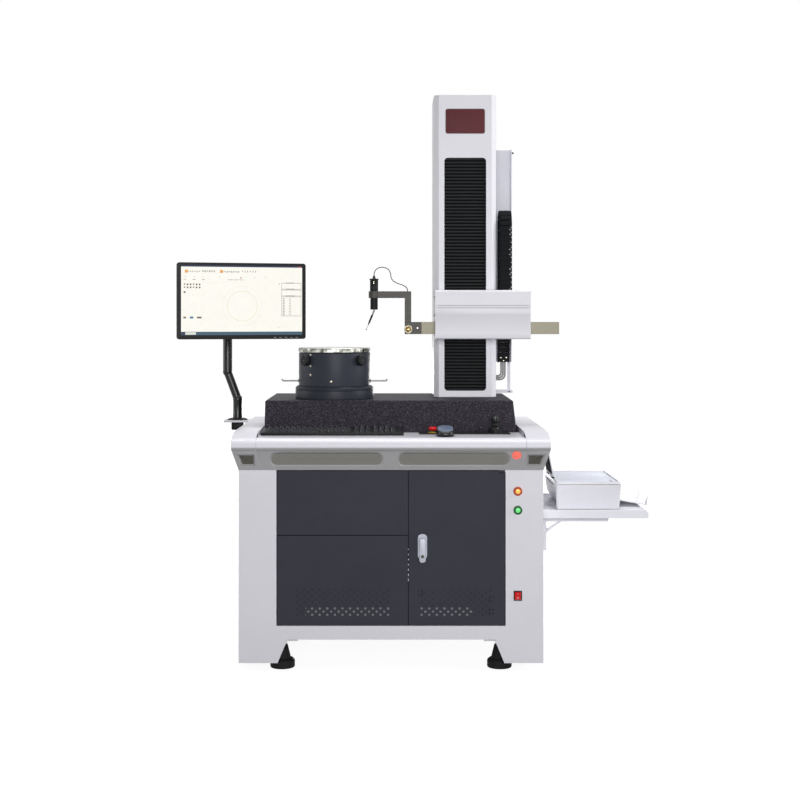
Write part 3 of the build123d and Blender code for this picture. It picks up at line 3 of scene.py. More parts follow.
import bmesh
import bpy
import mathutils
import numpy as np
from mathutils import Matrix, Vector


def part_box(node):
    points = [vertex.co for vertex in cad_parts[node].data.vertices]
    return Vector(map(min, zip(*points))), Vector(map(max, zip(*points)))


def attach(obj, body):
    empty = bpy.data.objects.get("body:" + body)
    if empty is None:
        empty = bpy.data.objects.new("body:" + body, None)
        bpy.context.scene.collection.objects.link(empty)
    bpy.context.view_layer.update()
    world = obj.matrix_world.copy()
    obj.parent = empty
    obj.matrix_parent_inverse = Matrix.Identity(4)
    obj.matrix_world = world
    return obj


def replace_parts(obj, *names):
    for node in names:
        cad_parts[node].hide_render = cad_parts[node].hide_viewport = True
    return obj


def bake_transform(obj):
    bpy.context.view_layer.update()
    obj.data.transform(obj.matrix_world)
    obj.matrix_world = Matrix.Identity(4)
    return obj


# A roundness measuring instrument, in metres: X to the right, Y away from the operator, Z up.

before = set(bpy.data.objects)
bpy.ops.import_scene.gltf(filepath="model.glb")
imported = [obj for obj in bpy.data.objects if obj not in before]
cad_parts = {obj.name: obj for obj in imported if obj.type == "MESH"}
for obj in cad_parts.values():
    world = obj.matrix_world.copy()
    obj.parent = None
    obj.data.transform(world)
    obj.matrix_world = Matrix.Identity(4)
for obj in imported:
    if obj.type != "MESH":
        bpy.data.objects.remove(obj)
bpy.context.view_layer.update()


def span(node):
    """A CAD node's box: its low and high corners, its middle and its size."""
    low, high = (np.array(corner, float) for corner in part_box(node))
    return low, high, (low + high) / 2, high - low


# Camera: level, in front of the instrument, its frame shifted to the photograph's
camera_place = (0.0, -4.65, 1.16)
camera_lens = 59.0
camera_shift = (0.01125, -0.1025)

# Places read from the solids
front_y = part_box("lower_front_panel")[0][1]
cover_low, cover_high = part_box("carriage_cover")
bracket_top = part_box("probe_bracket")[1][2]
table_low, table_high, (table_x, table_y, _), table_size = span("table_base")
probe_low, probe_high, (probe_x, arm_y, _), probe_size = span("probe_body")


def shown(name, data):
    """An object in the scene that shows some data."""
    shape = bpy.data.objects.new(name, data)
    bpy.context.collection.objects.link(shape)
    return shape


def add_camera():
    """The level camera that the photograph was taken with."""
    data = bpy.data.cameras.new("camera")
    data.lens = camera_lens
    data.shift_x, data.shift_y = camera_shift
    camera = shown("camera", data)
    camera.location = camera_place
    camera.rotation_euler = (pi / 2, 0, 0)
    bpy.context.scene.camera = camera


# The probe cable's route from its gland to the bracket's corner: right of the probe's axis, above the gland
probe_cable_route = [
    (0, 0), (0, 0.0125), (0.0095, 0.025), (0.0228, 0.0298), (0.0373, 0.0291), (0.0483, 0.0245),
    (0.0561, 0.0152), (0.0589, 0.0036), (0.0607, -0.0082), (0.0664, -0.0181), (0.077, -0.0249),
    (0.0905, -0.03), (0.103, -0.034), (0.1135, -0.0405), (0.119, -0.049), (0.119, -0.0555),
]


def probe_cable():
    """The thin cable over the bracket, one smooth spline through the air from gland to bracket."""
    exit_place = (probe_x, arm_y, probe_high[2])
    data = bpy.data.curves.new("probe_cable_line", "CURVE")
    data.dimensions = "3D"
    data.bevel_depth = 0.0015
    data.bevel_resolution = 4
    data.use_fill_caps = True
    data.resolution_u = 10
    spline = data.splines.new("NURBS")
    spline.points.add(len(probe_cable_route) - 1)
    for point, (right, up) in zip(spline.points, probe_cable_route):
        point.co = (exit_place[0] + right, exit_place[1], exit_place[2] + up, 1)
    spline.order_u = 3
    spline.use_endpoint_u = True
    cable = shown("probe_cable_line", data)
    data.materials.append(cable_rubber)
    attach(cable, "arm")
    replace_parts(cable, "probe_cable")


# Shader nodes
def linear(*screen):
    """A colour given as it looks on a screen, 0 to 255, turned into the light values that shaders use."""
    values = np.array(screen) / 255
    curve = ((values + 0.055) / 1.055) ** 2.4
    return tuple(np.where(values <= 0.04045, values / 12.92, curve)) + (1.0,)


def grey(value):
    """A grey colour."""
    return (value, value, value, 1)


def share(colour, factor):
    """A colour times a factor, at most white."""
    return tuple(min(1.0, factor * c) for c in colour[:3]) + (1,)


def feed(tree, socket, value):
    """Links another socket to a socket, or sets its value."""
    if isinstance(value, bpy.types.NodeSocket):
        tree.links.new(value, socket)
    else:
        socket.default_value = value


def add_node(tree, kind, inputs, **settings):
    """A shader node of a kind with its settings and inputs; its outputs come back."""
    node = tree.nodes.new("ShaderNode" + kind)
    for name, value in settings.items():
        setattr(node, name, value)
    for label, value in inputs.items():
        feed(tree, node.inputs[label], value)
    return node.outputs


def add_noise(tree, vector, scale, detail):
    """A noise texture on a vector."""
    return add_node(tree, "TexNoise", {"Vector": vector, "Scale": scale, "Detail": detail})["Fac"]


def add_math(tree, operation, *values):
    """A math node on numbers and sockets."""
    return add_node(tree, "Math", dict(enumerate(values)), operation=operation)[0]


def add_ramp(tree, value, stops):
    """A colour ramp with stops given as (place, colour)."""
    ramp = tree.nodes.new("ShaderNodeValToRGB")
    while len(ramp.color_ramp.elements) < len(stops):
        ramp.color_ramp.elements.new(0.5)
    for element, (place, colour) in zip(ramp.color_ramp.elements, stops):
        element.position = place
        element.color = colour
    tree.links.new(value, ramp.inputs["Fac"])
    return ramp.outputs["Color"]


def new_group(name, label, default, results):
    """A node group with a vector, one float input and named float results: itself and its inner sockets."""
    group = bpy.data.node_groups.new(name, "ShaderNodeTree")
    group.interface.new_socket("Vector", in_out="INPUT", socket_type="NodeSocketVector")
    group.interface.new_socket(label, in_out="INPUT", socket_type="NodeSocketFloat").default_value = default
    for result in results:
        group.interface.new_socket(result, in_out="OUTPUT", socket_type="NodeSocketFloat")
    given = group.nodes.new("NodeGroupInput").outputs
    return group, given["Vector"], given[label], group.nodes.new("NodeGroupOutput").inputs


def grain_group():
    """Fine grain of a coat or a moulding: Height for a bump, from one fine and one broader noise."""
    group, vector, size, result = new_group("grain", "Size", 900.0, ["Height"])
    broad = add_math(group, "MULTIPLY", add_noise(group, vector, 60, 2), 0.25)
    feed(group, result["Height"], add_math(group, "ADD", add_noise(group, vector, size, 2), broad))
    return group


def handling_group():
    """Traces of use: Tone lightens and darkens a colour slightly, Smear makes patches a little rougher."""
    group, vector, amount, result = new_group("handling", "Amount", 0.5, ["Tone", "Smear"])
    clouds = add_math(group, "MULTIPLY", add_noise(group, vector, 3.5, 5), 0.7)
    specks = add_math(group, "MULTIPLY", add_noise(group, vector, 45, 3), 0.3)
    mixed = add_math(group, "ADD", clouds, specks)
    swing = add_math(group, "MULTIPLY", add_math(group, "SUBTRACT", mixed, 0.5), amount)
    feed(group, result["Tone"], add_math(group, "ADD", swing, 0.5))
    feed(group, result["Smear"], add_math(group, "MULTIPLY", add_noise(group, vector, 11, 4), amount))
    return group


def brushed_group():
    """Lines of grinding or brushing: Lines varies along one direction far less than across it."""
    group, vector, fineness, result = new_group("brushed", "Fineness", 400.0, ["Lines"])
    stretched = add_node(group, "Mapping", {"Scale": (0.02, 1, 1), "Vector": vector})[0]
    feed(group, result["Lines"], add_noise(group, stretched, fineness, 3))
    return group


def use_group(tree, group, vector, **values):
    """The outputs of a node group placed in a material, with its own values."""
    return add_node(tree, "Group", {"Vector": vector, **values}, node_tree=group)


# Materials
grain, handling, brushed = grain_group(), handling_group(), brushed_group()


def new_material(name, slot=None, **values):
    """A material, its tree, its shader's inputs with some values set, and the object's own coordinates."""
    material = bpy.data.materials.new(name)
    material.use_nodes = True
    tree = material.node_tree
    shader = tree.nodes["Principled BSDF"].inputs
    for label, value in values.items():
        shader[label].default_value = value
    return material, tree, shader, tree.nodes.new("ShaderNodeTexCoord").outputs["Object"]


def surface(tree, shader, tint, rough, height, strength, distance):
    """Gives a shader its colour, its roughness and a bump."""
    feed(tree, shader["Base Color"], tint)
    feed(tree, shader["Roughness"], rough)
    bump = add_node(tree, "Bump", {"Strength": strength, "Distance": distance, "Height": height})
    feed(tree, shader["Normal"], bump["Normal"])


def coated(name, slot, colour, roughness, size, use=0.5, specular=0.4, depth=0.00003, metallic=0.0):
    """Paint, plastic, rubber or cast metal: grain in its surface and slight traces of use."""
    values = {"Metallic": metallic, "Specular IOR Level": specular}
    material, tree, shader, place = new_material(name, slot, **values)
    colour = linear(*colour)
    traces = use_group(tree, handling, place, Amount=use)
    tint = add_ramp(tree, traces["Tone"], [(0.25, share(colour, 0.8)), (0.75, share(colour, 1.16))])
    rough = add_math(tree, "MULTIPLY_ADD", traces["Smear"], 0.35, roughness - 0.08)
    surface(tree, shader, tint, rough, use_group(tree, grain, place, Size=size)["Height"], 0.35, depth)
    return material


def ground_metal(name, slot, colour, roughness, fineness=300, metallic=1.0):
    """Metal with fine lines from brushing or grinding."""
    material, tree, shader, place = new_material(name, slot, Metallic=metallic)
    colour = linear(*colour)
    lines = use_group(tree, brushed, place, Fineness=fineness)["Lines"]
    tint = add_ramp(tree, lines, [(0.3, share(colour, 0.72)), (0.7, colour)])
    rough = add_math(tree, "MULTIPLY_ADD", lines, 0.25, roughness - 0.12)
    surface(tree, shader, tint, rough, lines, 0.3, 0.00002)
    return material


def faced_metal(name, colour, shares):
    """Metal faced on a lathe: rings round the table's axis, and patches in two darker shares of it that are
    painted reflection.
    """
    material, tree, shader, place = new_material(name, "steel", Metallic=1.0)
    colour = linear(*colour)
    centred = add_node(tree, "Mapping", {"Location": (-table_x, -table_y, 0), "Vector": place})[0]
    waves = {"Vector": centred, "Scale": 260, "Distortion": 1.2, "Detail": 3}
    rings = add_node(tree, "TexWave", waves, wave_type="RINGS", rings_direction="Z")["Fac"]
    total = add_math(tree, "MULTIPLY_ADD", rings, 0.12, add_noise(tree, place, 62, 6))
    dark, middle = (share(colour, factor) for factor in shares)
    tint = add_ramp(tree, total, [(0.46, dark), (0.53, middle), (0.62, colour)])
    smear = use_group(tree, handling, place, Amount=1.0)["Smear"]
    surface(tree, shader, tint, add_math(tree, "MULTIPLY_ADD", smear, 0.3, 0.2), rings, 0.15, 0.00002)
    return material


def granite_material():
    """Honed dark granite: grey and black grains with a few paler ones, from a cell pattern under a veil."""
    material, tree, shader, place = new_material("honed_granite", "granite", **{"Specular IOR Level": 0.06})
    cells = add_node(tree, "TexVoronoi", {"Vector": place, "Scale": 600})["Color"]
    shade = add_node(tree, "SeparateColor", {0: cells})
    body = add_ramp(tree, shade[0], [
        (0.0, linear(36, 34, 39)), (0.42, linear(48, 45, 53)), (0.72, linear(58, 54, 64)),
        (0.9, linear(76, 72, 82)), (0.975, linear(104, 99, 108)),
    ])
    veil = add_ramp(tree, add_noise(tree, place, 230, 3), [(0.38, grey(0.68)), (0.66, grey(1))])
    inputs = {"Factor": 1.0, 6: body, 7: veil}
    tint = add_node(tree, "Mix", inputs, data_type="RGBA", blend_type="MULTIPLY")[2]
    rough = add_math(tree, "MULTIPLY_ADD", shade[1], 0.18, 0.45)
    surface(tree, shader, tint, rough, use_group(tree, grain, place, Size=1500.0)["Height"], 0.2, 0.00002)
    return material


def glowing(name, slot, colour, glow, strength):
    """A lit lens with a clear coat: fine grain in its surface, its glow a little uneven."""
    values = {"Emission Strength": strength, "Coat Weight": 0.6}
    material, tree, shader, place = new_material(name, slot, **values)
    glow = linear(*glow)
    uneven = add_noise(tree, place, 160, 3)
    feed(tree, shader["Emission Color"], add_ramp(tree, uneven, [(0.3, share(glow, 0.8)), (0.7, glow)]))
    height = use_group(tree, grain, place, Size=1400.0)["Height"]
    surface(tree, shader, linear(*colour), 0.2, height, 0.3, 0.00003)
    return material


def lit(name, colour):
    """A part of a lit display: its colour glows almost evenly, with broad clouds that are a little dimmer."""
    values = {"Base Color": (0.02, 0.02, 0.02, 1), "Emission Strength": 0.97, "Roughness": 0.35,
              "Specular IOR Level": 0.1}
    material, tree, shader, place = new_material(name, "screen", **values)
    colour = linear(*colour)
    tint = add_ramp(tree, add_noise(tree, place, 40, 2), [(0.35, share(colour, 0.97)), (0.65, colour)])
    feed(tree, shader["Emission Color"], tint)
    return material


def knurled(name, slot, colour, ridges, centre, metallic):
    """Metal with fine ridges round the Y axis through a centre, its colour darker in the valleys between them
    as painted shade.
    """
    material, tree, shader, place = new_material(name, slot, Metallic=metallic)
    colour = linear(*colour)
    centred = add_node(tree, "Mapping", {"Location": tuple(-c for c in centre), "Vector": place})[0]
    axes = add_node(tree, "SeparateXYZ", {0: centred})
    angle = add_math(tree, "ARCTAN2", axes["X"], axes["Z"])
    ridge = add_math(tree, "SINE", add_math(tree, "MULTIPLY", angle, float(ridges)))
    half = add_math(tree, "MULTIPLY_ADD", ridge, 0.5, 0.5)
    # Darker colour in the valleys: painted shade
    tint = add_ramp(tree, half, [(0.15, share(colour, 0.45)), (0.8, colour)])
    surface(tree, shader, tint, 0.35, half, 0.8, 0.0005)
    return material


# Coats: name, slot, colour, roughness, size of the grain, traces of use, specular level, depth of the grain
white_coat = coated("white_textured_paint", "white_paint", (217, 216, 223), 0.42, 700, 0.16, 0.4, 0.00006)
pale_coat = coated("pale_shelf_paint", "white_paint", (232, 232, 240), 0.42, 900, 0.16)
channel_coat = coated("channel_paint", "white_paint", (208, 208, 216), 0.45, 900, 0.3, 0.2)
dark_coat = coated("dark_textured_paint", "dark_paint", (52, 53, 61), 0.55, 800, 0.5, 0.12, 0.00007)
foot_coat = coated("table_foot_enamel", "table_grey", (41, 44, 52), 0.4, 1200, 0.4, 0.12)
table_coat = coated("table_dark_enamel", "table_grey", (50, 53, 62), 0.4, 1200, 0.4, 0.12)
deck_coat = coated("deck_paint", "grey_deck", (186, 185, 192), 0.45, 900, 0.3)
white_moulding = coated("white_moulding", "white_plastic", (214, 213, 221), 0.38, 1100, 0.18)
# Painted shade: a darker grey for the floors of the console's pockets
pocket_painted_shade = coated("pocket_floor", "white_plastic", (136, 134, 127), 0.55, 900, 0.3, 0.2)
window_moulding = coated("window_insert", "white_plastic", (88, 86, 78), 0.5, 900, 0.5, 0.2)
# A mid grey for small marks, lines and buttons, also used as painted shade under the console's roll and on
# its pocket rims
grey_and_painted_shade = coated("mid_grey_with_painted_shade", "grey_deck", (170, 169, 171), 0.5, 900, 0.35, 0.2)
grey_moulding = coated("chain_moulding", "grey_deck", (150, 150, 154), 0.45, 1200)
# Painted light and shade behind the vents: a pale strip for light seen low in the holes, and a sheet for the
# shade inside
painted_vent_light = coated("vent_rail", "grey_deck", (124, 124, 128), 0.6, 600, 0.9, 0.1)
painted_vent_shade = coated("vent_filter", "black_plastic", (62, 63, 69), 0.8, 400, 0.9, 0.05, 0.0002)
black_plastic = coated("black_moulding", "black_plastic", (26, 27, 29), 0.42, 1300, 0.6, 0.12)
gloss_black = coated("gloss_black_paint", "black_plastic", (22, 23, 25), 0.26, 1300, 0.4, 0.3)
soft_black = coated("soft_black_moulding", "black_plastic", (36, 37, 40), 0.6, 1000, 0.6, 0.12, 0.00006)
key_black = coated("key_moulding", "black_plastic", (40, 41, 44), 0.4, 1400, 0.8, 0.2)
chain_black = coated("chain_black_moulding", "black_plastic", (28, 29, 31), 0.7, 1200, 0.6, 0.05)
foot_rubber = coated("foot_rubber", "black_plastic", (28, 28, 29), 0.6, 500, 0.8, 0.12, 0.00008)
mouse_shell = coated("mouse_shell", "black_plastic", (98, 110, 130), 0.3, 1500, 0.3, 0.3)
bellows_cloth = coated("coated_bellows_cloth", "bellows_black", (45, 47, 48), 0.75, 1600, 0.5, 0.12, 0.00008)
cable_rubber = coated("cable_jacket", "cable_grey", (40, 41, 43), 0.5, 1500, 0.4, 0.12)
grey_cable = coated("grey_cable_jacket", "cable_grey", (128, 128, 130), 0.5, 1500, 0.4)
printer_moulding = coated("printer_moulding", "printer_grey", (214, 214, 220), 0.42, 1000, 0.3, 0.4, 0.00008)
printer_lid = coated("printer_lid", "printer_grey", (214, 218, 231), 0.4, 1000, 0.2)
display_plastic = coated("tinted_display", "display_red", (100, 56, 60), 0.4, 300, 0.5, 0.03, 0.00001)
red_plastic = coated("red_moulding", "red", (206, 24, 28), 0.35, 1500, 0.3, 0.15)
yellow_plastic = coated("yellow_moulding", "yellow", (206, 176, 46), 0.35, 1500, 0.3)
zinc = coated("cast_zinc", "steel", (176, 178, 190), 0.5, 900, 0.4, metallic=0.2)
inner_metal = coated("inner_steel", "inner_steel", (96, 98, 104), 0.4, 900, 0.6, metallic=0.5)
lamp_red = glowing("lamp_red", "red", (224, 82, 66), (240, 116, 98), 0.45)
amber_lens = glowing("amber_lens", "amber", (226, 140, 40), (255, 206, 80), 0.6)
amber_collar = glowing("amber_collar", "amber", (176, 72, 34), (214, 92, 40), 0.12)
green_lens = glowing("green_lens", "green", (60, 190, 90), (110, 245, 126), 0.5)
green_collar = glowing("green_collar", "green", (20, 92, 44), (30, 130, 56), 0.06)
khaki_metal = ground_metal("khaki_anodised", "arm_khaki", (126, 121, 102), 0.42, 500, 0.25)
dark_metal = ground_metal("blackened_steel", "dark_steel", (56, 53, 49), 0.5, 500, 0.3)
bright_metal = ground_metal("bright_steel", "steel", (196, 196, 194), 0.25)
satin_metal = ground_metal("satin_steel", "steel", (138, 138, 140), 0.4, 300, 0.7)
cream_metal = ground_metal("pale_brass", "steel", (244, 234, 206), 0.3, 300, 0.5)
brass_metal = ground_metal("turned_brass", "brass", (140, 110, 56), 0.34, 300, 0.8)
plate_metal = faced_metal("faced_steel", (176, 176, 172), (0.9, 0.95))
# Painted reflection: strong dark patches for the rim of the work plate
rim_painted_reflection = faced_metal("faced_steel_rim_painted_reflection", (206, 205, 196), (0.2, 0.5))
granite = granite_material()


# Skins: arrays of points with the faces over them
merge_distance = 1e-6
smooth_angle = 32
tiny = 1e-12


def grid_faces(rows, columns, wrap=False):
    """The quads of a grid whose rows are closed rings: point (i, j) is number i * columns + j."""
    i, j = np.indices((rows - (not wrap), columns)).reshape(2, -1)
    after_j, row, after_row = (j + 1) % columns, i * columns, (i + 1) % rows * columns
    return np.stack([row + j, row + after_j, after_row + after_j, after_row + j], 1)


def stack(rings):
    """A closed skin over rings of points, an array of shape (rings, points, 3), flat at each end."""
    rows, columns, _ = rings.shape
    count = rows * columns
    ends = [list(range(columns)), list(range(count - 1, count - columns - 1, -1))]
    return rings.reshape(-1, 3), grid_faces(rows, columns).tolist() + ends


def loop(rings):
    """A closed skin over rings of points whose last ring joins the first."""
    rows, columns, _ = rings.shape
    return rings.reshape(-1, 3), grid_faces(rows, columns, True).tolist()


def piece(name, parts, material, body="stand", node=None, angle=smooth_angle, blend=None):
    """One object made of several skins, given as (points, faces), that rides on a body, or stays where it is
    built when blend is given.

    The skins are merged where they meet exactly, and their normals are turned outwards.
    """
    starts = np.cumsum([0] + [len(points) for points, _ in parts]).tolist()
    faces = [[i + start for i in face] for (_, skin), start in zip(parts, starts) for face in skin]
    mesh = bpy.data.meshes.new(name)
    mesh.from_pydata(np.concatenate([points for points, _ in parts]).tolist(), [], faces)
    return finished(name, mesh, material, body, node, angle, blend)


def finished(name, mesh, material, body, node, angle=smooth_angle, blend=None):
    """A mesh cleaned, smoothed below an angle, given its material and its body, in place of a CAD node."""
    solid = bmesh.new()
    solid.from_mesh(mesh)
    bmesh.ops.remove_doubles(solid, verts=solid.verts, dist=merge_distance)
    bmesh.ops.recalc_face_normals(solid, faces=solid.faces)
    solid.to_mesh(mesh)
    solid.free()
    mesh.shade_smooth()
    mesh.set_sharp_from_angle(angle=radians(angle))
    mesh.materials.append(material)
    shape = shown(name, mesh)
    if blend:
        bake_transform(shape)
    else:
        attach(shape, body)
    if node:
        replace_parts(shape, node)
    return shape


def softened(node, material, body="stand", width=0.0008, segments=2, keep=None):
    """A copy of a CAD node, or of what keep leaves of it, triangles merged and sharp edges rounded."""
    mesh = bpy.data.objects[node].data.copy()
    mesh.materials.clear()
    solid = bmesh.new()
    solid.from_mesh(mesh)
    bmesh.ops.remove_doubles(solid, verts=solid.verts, dist=merge_distance)
    if keep:
        solid.verts.ensure_lookup_table()
        left_out = np.flatnonzero(~keep(np.array([v.co for v in solid.verts])))
        bmesh.ops.delete(solid, geom=[solid.verts[i] for i in left_out], context="VERTS")
    bmesh.ops.dissolve_limit(solid, angle_limit=radians(1), verts=solid.verts, edges=solid.edges)
    solid.to_mesh(mesh)
    solid.free()
    mesh.name = node + "_skin"
    shape = finished(node + "_skin", mesh, material, body, node)
    bevel = shape.modifiers.new("rounding", "BEVEL")
    bevel.width = width
    bevel.segments = segments
    bevel.limit_method = "ANGLE"
    bevel.angle_limit = radians(smooth_angle)
    bevel.harden_normals = True
    return shape


def mm(*rows):
    """Points whose coordinates are given in millimetres."""
    return np.array(rows, float) / 1000


# Seats: local frames that outlines and profiles are placed in
def seat(origin, across=(1, 0, 0), up=(0, 0, 1)):
    """A local frame as an origin and three rows: across, up and out, out being across times up."""
    across, up = np.array(across, float), np.array(up, float)
    across /= np.linalg.norm(across)
    up /= np.linalg.norm(up)
    return np.array(origin, float), np.stack([across, up, np.cross(across, up)])


front_view = seat((0, 0, 0))
side_view = seat((0, 0, 0), (0, 1, 0))


def placed(points, place):
    """Local points (across, up, out) moved to a seat."""
    origin, rows = place
    return points @ rows + origin


def upright(x, y, z=0.0):
    """A seat whose out direction is up."""
    return seat((x, y, z), (1, 0, 0), (0, 1, 0))


def facing(x, y, z):
    """A seat on the front of something: across to the right, up, and out towards the operator."""
    return seat((x, y, z))


# Outlines, and the skins made from them
def rounded(corners, radius, steps=5, closed=True):
    """An outline with each corner drawn as a short parabola between points a radius away from it.

    Every corner p becomes (1-t)^2 a + 2t(1-t) p + t^2 b, a and b lying on its two sides.
    """
    corners = np.array(corners, float)
    to_before, to_after = np.roll(corners, 1, 0) - corners, np.roll(corners, -1, 0) - corners
    long_before = np.linalg.norm(to_before, axis=1, keepdims=True)
    long_after = np.linalg.norm(to_after, axis=1, keepdims=True)
    reach = np.broadcast_to(np.asarray(radius, float).reshape(-1, 1), (len(corners), 1))
    reach = np.minimum(reach, np.minimum(long_before, long_after) * 0.499)
    start = corners + to_before / long_before * reach
    end = corners + to_after / long_after * reach
    t = np.linspace(0, 1, steps)[None, :, None]
    curve = (1 - t) ** 2 * start[:, None] + 2 * t * (1 - t) * corners[:, None] + t ** 2 * end[:, None]
    if not closed:
        return np.concatenate([corners[:1], curve[1:-1].reshape(-1, 2), corners[-1:]])
    return curve.reshape(-1, 2)


def corners_of(x0, x1, y0, y1):
    """The corners of a rectangle between two values across and two up."""
    return [(x0, y0), (x1, y0), (x1, y1), (x0, y1)]


def rectangle(width, height, centre, radius, steps=5):
    """The outline of a rectangle with rounded corners."""
    corners = np.array(corners_of(-0.5, 0.5, -0.5, 0.5)) * (width, height) + centre
    return rounded(corners, radius, steps)


def around(sides):
    """Points evenly spaced round the unit circle."""
    angle = np.linspace(0, 2 * pi, sides, endpoint=False)
    return np.stack([np.cos(angle), np.sin(angle)], 1)


def inset(outline, amount):
    """An outline moved inwards along the average of its two neighbouring sides' normals."""
    normal = 0
    for side in (outline - np.roll(outline, 1, 0), np.roll(outline, -1, 0) - outline):
        across = np.stack([-side[:, 1], side[:, 0]], 1)
        normal = normal + across / (np.linalg.norm(across, axis=1, keepdims=True) + tiny)
    normal /= (normal ** 2).sum(1, keepdims=True) / 2 + tiny
    return outline + normal * amount


def rings_at(rows, axis=2):
    """Rings of points from rows of (outline, value), the value being the axis that the outline lacks."""
    return np.array([np.insert(outline, axis, value, 1) for outline, value in rows])


def rim_rows(outline, level, edge, steps, sense=-1):
    """An outline drawn in by a quarter circle up to a level, or down to it for sense 1, as rows."""
    return [(inset(outline, edge * (1 - cos(a))), level + sense * edge * (1 - sin(a)))
            for a in np.linspace(0, pi / 2, steps + 1)]


def slab(outline, low, high, edge, place, steps=3, both=True):
    """A plate: an outline carried from a low to a high height, its rims rounded by quarter circles."""
    start = rim_rows(outline, low, edge, steps, 1)[::-1] if both else [(outline, low)]
    return stack(placed(rings_at(start + rim_rows(outline, high, edge, steps)), place))


def brick(low, high, edge=0.001, steps=2):
    """A box between two corners with rounded rims, seen from the front."""
    size, middle = np.subtract(high, low), np.add(high, low) / 2
    outline = rectangle(size[0], size[2], (middle[0], middle[2]), edge * 1.5, 4)
    return slab(outline, -high[1], -low[1], edge, front_view, steps)


def frame_between(outer, inner, low, high, edge, place, steps=3):
    """A flat frame between two outlines with as many points each, its outer front rim rounded."""
    rows = [(outer, low)] + rim_rows(outer, high, edge, steps) + [(inner, high), (inner, low)]
    return loop(placed(rings_at(rows), place))


def turned(profile, place, sides=64, closed=False):
    """A profile of (height, radius) points turned round the seat's out direction, closed for a ring."""
    rings = rings_at([(around(sides) * radius, height) for height, radius in profile])
    return (loop if closed else stack)(placed(rings, place))


def eased(profile, radius, steps=3):
    """A profile of (height, radius) points with its inner corners rounded."""
    return rounded(profile, radius, steps, closed=False)


def tube(line, radius, sides):
    """A round tube along a line of points in a plane that Y crosses."""
    line = np.array(line, float)
    along = np.gradient(line, axis=0)
    along /= np.linalg.norm(along, axis=1, keepdims=True)
    across = np.broadcast_to((0.0, 1.0, 0.0), along.shape)
    return stack(line[:, None] + radius * around(sides) @ np.stack([across, np.cross(across, along)], 1))


def spread(count, first, last):
    """Evenly spaced values from first to last."""
    return np.linspace(first, last, count)


def screws(seats, radius, depth=0.0012):
    """Small round screw heads, each with the rim of its socket, at several seats."""
    profile = [(-0.001, radius), (depth * 0.7, radius), (depth, radius * 0.8), (depth, radius * 0.5),
               (depth * 0.3, radius * 0.45)]
    return [turned(profile, place, 20) for place in seats]


# Cabinet panels: sheet with folded edges, and round vents in staggered rows
sheet = 0.002
vent_radius = 0.0042
vent_step_x, vent_step_z = 0.0249, 0.0103
vent_rows = 9
vent_first_z = 0.1865
vent_bottom = vent_first_z - vent_step_z / 2
vent_top = vent_bottom + vent_rows * vent_step_z


def vent_cells(first_x, columns):
    """The vented field of a panel as (points, faces): each cell is a rectangle whose middle is a round hole.

    A cell's outer points are its hole's points pushed out along their rays to the rectangle, one of them at
    each corner. Every other row is half a pitch to the right and one hole shorter.
    """
    half_x, half_z = vent_step_x / 2, vent_step_z / 2
    corner = np.arctan2(half_z, half_x)
    turn = np.array([0, corner, pi / 4, 3 * pi / 8, pi / 2, 5 * pi / 8, 3 * pi / 4, pi - corner])
    turn = np.concatenate([turn, turn + pi])
    ray = np.stack([np.cos(turn), np.sin(turn)], 1)
    border = ray / np.maximum(np.abs(ray[:, :1]) / half_x, np.abs(ray[:, 1:]) / half_z)
    hole, back_y = ray * vent_radius, front_y + sheet
    cell = rings_at([(border, front_y), (hole, front_y), (hole, back_y), (border, back_y)], 1)
    row, column = np.indices((vent_rows, columns))
    keep = (row % 2 == 0) | (column < columns - 1)
    x = first_x + (column + (row % 2) / 2) * vent_step_x
    z = vent_first_z + row * vent_step_z
    centres = np.stack([x[keep], np.zeros(keep.sum()), z[keep]], 1)
    points = (centres[:, None, None] + cell).reshape(-1, 3)
    faces = grid_faces(len(cell), len(ray)) + np.arange(len(centres))[:, None, None] * len(cell) * len(ray)
    return points, faces.reshape(-1, 4).tolist()


def vent_ends(left, right):
    """The half cells that square off the shorter rows of the vented field."""
    half = vent_step_x / 2
    return [(rings_at([(corners_of(x, x + half, z, z + vent_step_z), y)], 1)[0], [(0, 1, 2, 3)])
            for z in vent_bottom + vent_step_z * np.arange(1, vent_rows, 2)
            for x in (left, right - half) for y in (front_y, front_y + sheet)]


def panel_backing(node, body, left, right, lit_share):
    """A sheet of painted shade behind a vented field, and a pale strip of painted light that shows low in it
    over a share of its width.
    """
    base, back = vent_bottom + 0.001, front_y + sheet
    mat = brick((left + 0.001, back + 0.0006, base), (right - 0.001, back + 0.0022, vent_top - 0.001), 0.0004)
    piece(node + "_filter", [mat], painted_vent_shade, body)
    start, end = (left + (right - left) * share for share in lit_share)
    strip = brick((start, back + 0.0002, base), (end, back + 0.0007, base + 0.03), 0.0001, 1)
    piece(node + "_rail", [strip], painted_vent_light, body)


